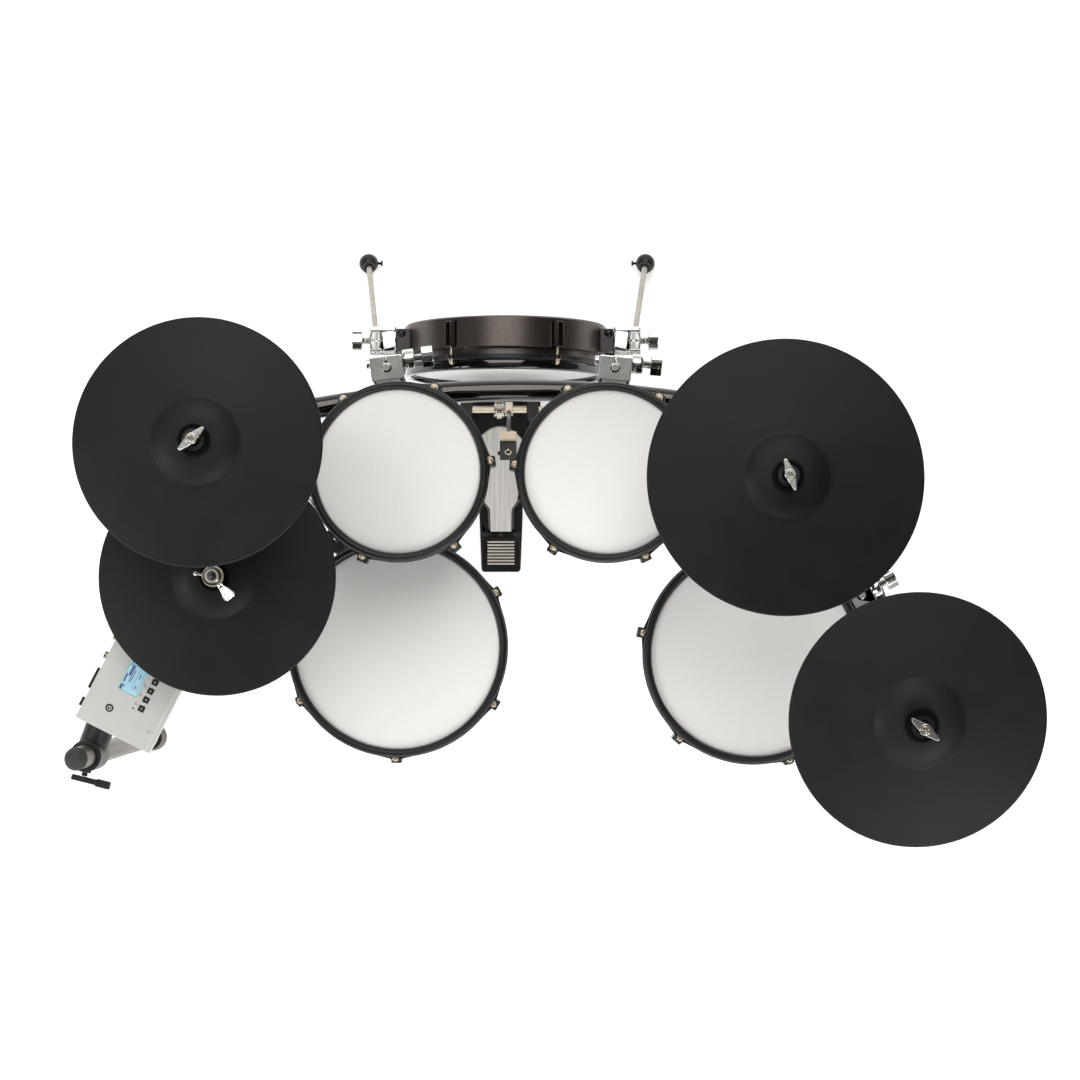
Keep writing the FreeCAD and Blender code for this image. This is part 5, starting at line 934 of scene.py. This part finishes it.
def make_clutch():
    """The clutch on the pull rod: felt, two turned rings with a bore, a ball pin and a wing screw."""
    at = cymbal_frame("hihat")
    bm = bmesh.new()
    ring(bm, [(9.6, 7.1), (21.6, 7.1), (22.2, 7.8), (22.2, 11.0), (21.4, 12.0), (9.6, 12.0)], at, 64, 0)
    ring(bm, [(3.9, 12.1), (15.0, 12.1), (15.6, 12.8), (15.6, 20.4), (15.0, 21.2), (13.4, 21.4),
              (13.2, 22.8), (14.6, 23.2), (15.2, 24.0), (15.2, 28.8), (14.4, 29.8), (12.0, 29.4),
              (3.9, 28.4)], at, 64, 1)
    ring(bm, [(5.6, 28.0), (9.2, 28.0), (9.6, 28.6), (9.6, 35.4), (8.8, 36.4), (6.6, 36.4), (5.6, 35.4)],
         at, 48, 2)
    ring(bm, [(3.9, -22.0), (9.2, -22.0), (9.2, 7.0), (3.9, 7.0)], at, 48, 1)
    middle = at @ upright((0, 0, 24.0))
    pin = middle @ spin(172.0)
    cylinder(bm, pin @ TO_X, 1.8, 14.0, 24.0, 0.3, 20, 2)
    turns = [math.pi * i / 12 for i in range(1, 12)]
    ball = [(3.6 * math.sin(turn), 26.0 - 3.6 * math.cos(turn)) for turn in turns]
    lathe(bm, [(0, 22.4)] + ball + [(0, 29.6)], pin @ TO_X, 28, 2)
    screw = middle @ spin(-52.0)
    cylinder(bm, screw @ TO_X, 4.0, 14.0, 22.0, 0.4, 28, 2)
    # The wing's outline, as shares of its half width and heights, with two grooves along it
    wing = [(1.0, -1.0), (0.75, 1.6), (0.55, 1.6), (0.45, -0.6), (0.34, 1.6), (-0.28, 1.6), (-0.4, -0.6),
            (-0.5, 1.6), (-0.66, 1.6), (-1.0, -1.8), (-1.0, -3.0), (1.0, -3.0)]
    sections = []
    for reach, half, rise in ((17.0, 4.6, 2.5), (21.0, 5.4, 0.2), (26.0, 7.0, -2.7), (32.0, 8.6, -6.2),
                              (38.0, 9.6, -9.6), (40.6, 9.2, -11.1), (41.6, 8.0, -11.7)):
        sections.append([(reach, share * half, rise + up) for share, up in reversed(wing)])
    loft(bm, sections, screw, 3)
    piece("hihat_clutch", bm, "hihat_rod", ["wool_felt", "nickel_plate", "chrome_plate", "cast_zinc"])


def stand_paint(low, high):
    """Caps on the feet of the chrome stand."""
    return "cap_plastic" if high.z < 40 and high.x - low.x < 30 else "chrome_plate"


def make_hihat():
    dress("hihat_stand", stand_paint, 0.5)
    dress("hihat_rod", larger(2, 200, "zinc_steel"), 0.6)
    dress("hihat_footboard", "brushed_aluminium", 0.6)
    make_clutch()


# Module

def module_frame():
    """The module's own frame: X over the case's short side, Y along it, Z out of its top face."""
    turn = spin(MODULE_HEADING) @ spin(MODULE_TILT, "Y")
    return upright(joint_place("module_tilt")) @ turn @ upright(MODULE_TOP)


def slab(bm, at, x, y, width, length, low, high, material=0, corner=0.0):
    """A small plate on the module, with cut corners."""
    a, b, c = width / 2, length / 2, corner
    corners = [(x - a, y - b), (x + a, y - b), (x + a, y + b), (x - a, y + b)]
    if c:
        corners = [(x - a + c, y - b), (x + a - c, y - b), (x + a, y - b + c), (x + a, y + b - c),
                   (x + a - c, y + b), (x - a + c, y + b), (x - a, y + b - c), (x - a, y - b + c)]
    prism(bm, corners, low, high, at, material)


def case_paint(low, high):
    """Keeps the sockets and blocks of the case; the case itself is made here."""
    size = high - low
    if max(size) > 150:
        return None
    return "nickel_plate" if max(size.x, size.y) < 14 and size.z < 14 else "filled_nylon"


def less(bm, tool):
    """A mesh with another one cut from it."""
    holders = []
    for solid in (bm, tool):
        bmesh.ops.recalc_face_normals(solid, faces=solid.faces)
        mesh = bpy.data.meshes.new("solid")
        solid.to_mesh(mesh)
        solid.free()
        holders.append(bpy.data.objects.new("solid", mesh))
        bpy.context.scene.collection.objects.link(holders[-1])
    modifier = holders[0].modifiers.new("cut", "BOOLEAN")
    modifier.operation = "DIFFERENCE"
    modifier.solver = "EXACT"
    modifier.object = holders[1]
    mesh = bpy.data.meshes.new_from_object(holders[0].evaluated_get(bpy.context.evaluated_depsgraph_get()))
    result = bmesh.new()
    result.from_mesh(mesh)
    for data in [mesh] + [holder.data for holder in holders]:
        bpy.data.meshes.remove(data)
    return result


def make_case(at):
    """The enamelled case: crisp corners, a rounded front edge along the buttons, and pockets."""
    x, y = CASE_HALF
    turned = CASE_ROUND * math.sqrt(0.5)
    front = x - CASE_ROUND
    section = [(-x, -CASE_DEPTH), (x, -CASE_DEPTH), (x, -CASE_ROUND)]
    section += arc((x, -CASE_ROUND), (front + turned, turned - CASE_ROUND), (front, 0.0), 10) + [(-x, 0.0)]
    bm = bmesh.new()
    loft(bm, [[(a, b, c) for a, c in section] for b in (-y, y)], at)
    pockets = bmesh.new()
    over = 4.0
    x, y, width, length = DISPLAY
    slab(pockets, at, x, y, width + 0.2, length + 0.2, -2.0, over)
    for y in BUTTON_YS:
        slab(pockets, at, BUTTON_X, y, BUTTON_POCKET, BUTTON_POCKET, -POCKET_DEPTH, over)
    lathe(pockets, [(0, -POCKET_DEPTH), (POWER_POCKET, -POCKET_DEPTH), (POWER_POCKET, over), (0, over)],
          at @ upright(POWER_PLACE), 48)
    bevel(piece("module_shell", less(bm, pockets), "module_case", ["module_enamel"]), 0.4, 2)


def make_display(at):
    """The lit display with its rim, and made-up bars and boxes on it."""
    x, y, width, length = DISPLAY
    rim = 1.3
    bm = bmesh.new()
    slab(bm, at, x, y, width, length, -1.6, -0.2, 0)
    for side in (-1, 1):
        slab(bm, at, x + side * (width - rim) / 2, y, rim, length, -0.2, -0.12, 1)
        slab(bm, at, x, y + side * (length - rim) / 2, width - 2 * rim, rim, -0.2, -0.12, 1)
    # Middle and size of every bar
    bars = [(-23.0, -27.0, 3.6, 9.0), (-23.0, -12.0, 2.4, 14.0), (-19.6, -24.0, 1.4, 5.0),
            (-19.0, 2.0, 3.0, 18.0), (-16.0, -3.0, 1.2, 26.0), (-13.4, -6.0, 1.2, 19.0),
            (-7.0, -4.0, 0.5, 42.0), (-3.0, -20.0, 1.4, 8.0), (-3.0, -2.0, 1.4, 8.0),
            (-3.0, 14.0, 1.4, 6.0), (1.2, -4.0, 0.5, 42.0), (-23.0, 12.0, 1.4, 7.0)]
    for a, b, across, along in bars:
        slab(bm, at, a, b, across, along, -0.2, -0.14, 2)
    node = "module_display"
    piece("module_lit_display", bm, node, ["lit_screen", "screen_rim", "screen_ink"], node)


def make_module():
    at = module_frame()
    dress("module_case", case_paint, 0.8)
    dress("module_mount", "filled_nylon", 0.8)
    make_case(at)
    make_display(at)
    bm = bmesh.new()
    for y in BUTTON_YS[:3]:
        slab(bm, at, 8.6, y + 4.0, 0.9, 6.0, 0.0, 0.08, 0)
        slab(bm, at, 11.4, y + 2.5, 0.7, 3.0, 0.0, 0.08, 0)
    lathe(bm, [(0, 0.0), (1.3, 0.0), (1.3, 0.5), (0.8, 0.8), (0, 0.9)], at @ upright((8.4, -49.0, 0)), 20, 0)
    ring(bm, [(2.1, 0.0), (2.7, 0.0), (2.7, 0.08), (2.1, 0.08)], at @ upright((46.0, -70.0, 0)), 32, 0)
    piece("module_marks", bm, "module_case", ["dark_print"])
    for number, y in enumerate(BUTTON_YS, 1):
        node = "function_button_%d" % number
        dress(node, "key_rubber", 0.9)
        bm = bmesh.new()
        slab(bm, at, BUTTON_X, y, 1.2, 2.4, 1.5, 1.56, 0, 0.3)
        piece(node + "_mark", bm, node, ["white_print"])
    dress("power_button", "key_rubber", 0.5)
    bm = bmesh.new()
    spot = at @ upright(POWER_PLACE)
    ring(bm, [(2.6, 1.5), (3.4, 1.5), (3.4, 1.57), (2.6, 1.57)], spot, 32)
    slab(bm, spot, 0, 1.0, 0.8, 3.0, 1.5, 1.57)
    piece("power_button_mark", bm, "power_button", ["white_print"])


# Stage

def make_floor():
    """White studio paper."""
    scene = bpy.context.scene
    half = scene.kit_sizes.floor_size / 2
    bm = bmesh.new()
    corners = ((-1, -1), (1, -1), (1, 1), (-1, 1))
    bm.faces.new([bm.verts.new((x * half, y * half, -0.0004)) for x, y in corners])
    mesh = bpy.data.meshes.new("floor")
    bm.to_mesh(mesh)
    bm.free()
    made, tree, shader, place = shade("floor_paper")
    cloud = add(tree, "ShaderNodeTexNoise", {"Vector": place, "Scale": 3.0})
    colour = spread(tree, cloud.outputs["Fac"], (0.3, (0.92, 0.92, 0.91, 1)), (0.7, (0.95, 0.95, 0.94, 1)))
    fill(tree, shader, {"Base Color": colour, "Roughness": 0.9, "Specular IOR Level": 0.1,
                        "Emission Color": (1, 1, 1, 1), "Emission Strength": 0.5})
    mesh.materials.append(made)
    floor = bpy.data.objects.new("floor", mesh)
    scene.collection.objects.link(floor)


def make_lights():
    """Boxes over the back, low in front, at the left and the front right; the room is dark overhead."""
    scene = bpy.context.scene
    aim = Vector((0, 0, 0.7))
    # Name, place, width, height, watts, colour
    lights = (("back_box", (-0.1, 3.5, 6.1), 4.8, 5.6, 290.0, "#fffdfb"),
              ("front_box", (0.3, -3.4, 2.2), 5.0, 1.4, 40.0, "#ffffff"),
              ("front_left_box", (-3.2, -1.2, 3.0), 1.6, 1.6, 70.0, "#ffffff"),
              ("front_right_box", (1.7, -3.0, 3.4), 1.6, 1.6, 60.0, "#ffffff"))
    for name, place, width, height, power, colour in lights:
        data = bpy.data.lights.new(name, "AREA")
        data.shape = "RECTANGLE"
        data.size = width
        data.size_y = height
        data.energy = power
        data.color = linear(colour)
        light = bpy.data.objects.new(name, data)
        light.location = place
        light.rotation_euler = (aim - Vector(place)).to_track_quat("-Z", "Y").to_euler()
        scene.collection.objects.link(light)
    world = bpy.data.worlds.new("studio")
    world.use_nodes = True
    tree = world.node_tree
    place = add(tree, "ShaderNodeTexCoord").outputs["Generated"]
    axes = add(tree, "ShaderNodeSeparateXYZ", {"Vector": place}).outputs
    aside = add(tree, "ShaderNodeMath", {0: axes["X"]}, operation="ABSOLUTE").outputs["Value"]
    dim = add(tree, "ShaderNodeMapRange", {"Value": aside, "From Min": 0.4, "From Max": 0.8, "To Min": 1.0,
                                           "To Max": 0.18})
    sky = spread(tree, axes["Z"], (0.0, (0.95, 0.95, 0.95, 1)), (0.3, (0.8, 0.8, 0.79, 1)),
                 (0.44, (0.36, 0.27, 0.21, 1)), (0.56, (0.07, 0.06, 0.055, 1)),
                 (0.93, (0.06, 0.06, 0.06, 1)), (0.965, (0.3, 0.31, 0.3, 1)))
    fill(tree, tree.nodes["Background"], {"Color": sky, "Strength": dim.outputs["Result"]})
    scene.world = world


def make_camera():
    scene = bpy.context.scene
    low, high = node_box("kick_head")
    data = bpy.data.cameras.new("camera")
    data.sensor_width = 36.0
    data.lens = data.sensor_width * PHOTO_FOCAL
    data.clip_end = 100.0
    camera = bpy.data.objects.new("camera", data)
    right, ahead = CAMERA_FROM_KICK
    camera.location = metres((low.x + high.x) / 2 + right, low.y + ahead, CAMERA_HEIGHT)
    camera.rotation_euler = (math.radians(CAMERA_TILT), 0, 0)
    scene.collection.objects.link(camera)
    scene.camera = camera


def make_stage():
    bpy.context.scene.view_settings.view_transform = "Standard"
    make_floor()
    make_lights()
    make_camera()


# Operators

class KIT_OT_stage(bpy.types.Operator):
    """Make the floor, the lights and the camera"""
    bl_idname = "kit.stage"
    bl_label = "Stage"

    def execute(self, context):
        make_stage()
        return {"FINISHED"}


class KIT_OT_rack(bpy.types.Operator):
    """Finish the posts, feet, bars, clamps, rods and cymbal arms"""
    bl_idname = "kit.rack"
    bl_label = "Rack"

    def execute(self, context):
        make_rack()
        return {"FINISHED"}


class KIT_OT_cymbals(bpy.types.Operator):
    """Mould the four cymbal pads with their felts"""
    bl_idname = "kit.cymbals"
    bl_label = "Cymbals"

    def execute(self, context):
        make_cymbals()
        return {"FINISHED"}


class KIT_OT_wing_nuts(bpy.types.Operator):
    """Cast the wing nuts on the cymbals"""
    bl_idname = "kit.wing_nuts"
    bl_label = "Wing nuts"

    def execute(self, context):
        make_wing_nuts()
        return {"FINISHED"}


class KIT_OT_drums(bpy.types.Operator):
    """Make heads, hoops, rods, lugs and knobs of the four drums, and finish shells and brackets"""
    bl_idname = "kit.drums"
    bl_label = "Drums"

    def execute(self, context):
        make_drums()
        return {"FINISHED"}


class KIT_OT_kick(bpy.types.Operator):
    """Make the kick's head, hoop, rods, lugs and spur clamps, and finish its shell"""
    bl_idname = "kit.kick"
    bl_label = "Kick"

    def execute(self, context):
        make_kick()
        return {"FINISHED"}


class KIT_OT_pedal(bpy.types.Operator):
    """Make the kick pedal's board and beater, and finish its frame and drive"""
    bl_idname = "kit.pedal"
    bl_label = "Pedal"

    def execute(self, context):
        make_pedal()
        return {"FINISHED"}


class KIT_OT_hihat(bpy.types.Operator):
    """Finish the hi-hat's stand, rod and footboard, and make its clutch"""
    bl_idname = "kit.hihat"
    bl_label = "Hi-hat"

    def execute(self, context):
        make_hihat()
        return {"FINISHED"}


class KIT_OT_module(bpy.types.Operator):
    """Make the sound module's case, display and marks, and finish its buttons and mount"""
    bl_idname = "kit.module"
    bl_label = "Module"

    def execute(self, context):
        make_module()
        return {"FINISHED"}


STEPS = (KIT_OT_stage, KIT_OT_rack, KIT_OT_cymbals, KIT_OT_wing_nuts, KIT_OT_drums, KIT_OT_kick,
         KIT_OT_pedal, KIT_OT_hihat, KIT_OT_module)


class KIT_PT_panel(bpy.types.Panel):
    """Sizes, colours and steps of the drum kit"""
    bl_label = "Drum kit"
    bl_idname = "KIT_PT_panel"
    bl_space_type = "VIEW_3D"
    bl_region_type = "UI"
    bl_category = "Drum kit"

    def draw(self, context):
        column = self.layout.column()
        for group in (context.scene.kit_sizes, context.scene.kit_colours):
            for name in group.__annotations__:
                column.prop(group, name)
        for step in STEPS:
            column.operator(step.bl_idname)


CLASSES = (KitSizes, KitColours) + STEPS + (KIT_PT_panel,)


def register():
    for item in CLASSES:
        bpy.utils.register_class(item)
    bpy.types.Scene.kit_sizes = PointerProperty(type=KitSizes)
    bpy.types.Scene.kit_colours = PointerProperty(type=KitColours)


def unregister():
    del bpy.types.Scene.kit_colours
    del bpy.types.Scene.kit_sizes
    for item in reversed(CLASSES):
        bpy.utils.unregister_class(item)


def main():
    register()
    for step in STEPS:
        group, name = step.bl_idname.split(".")
        getattr(getattr(bpy.ops, group), name)()


if __name__ == "__main__":
    main()
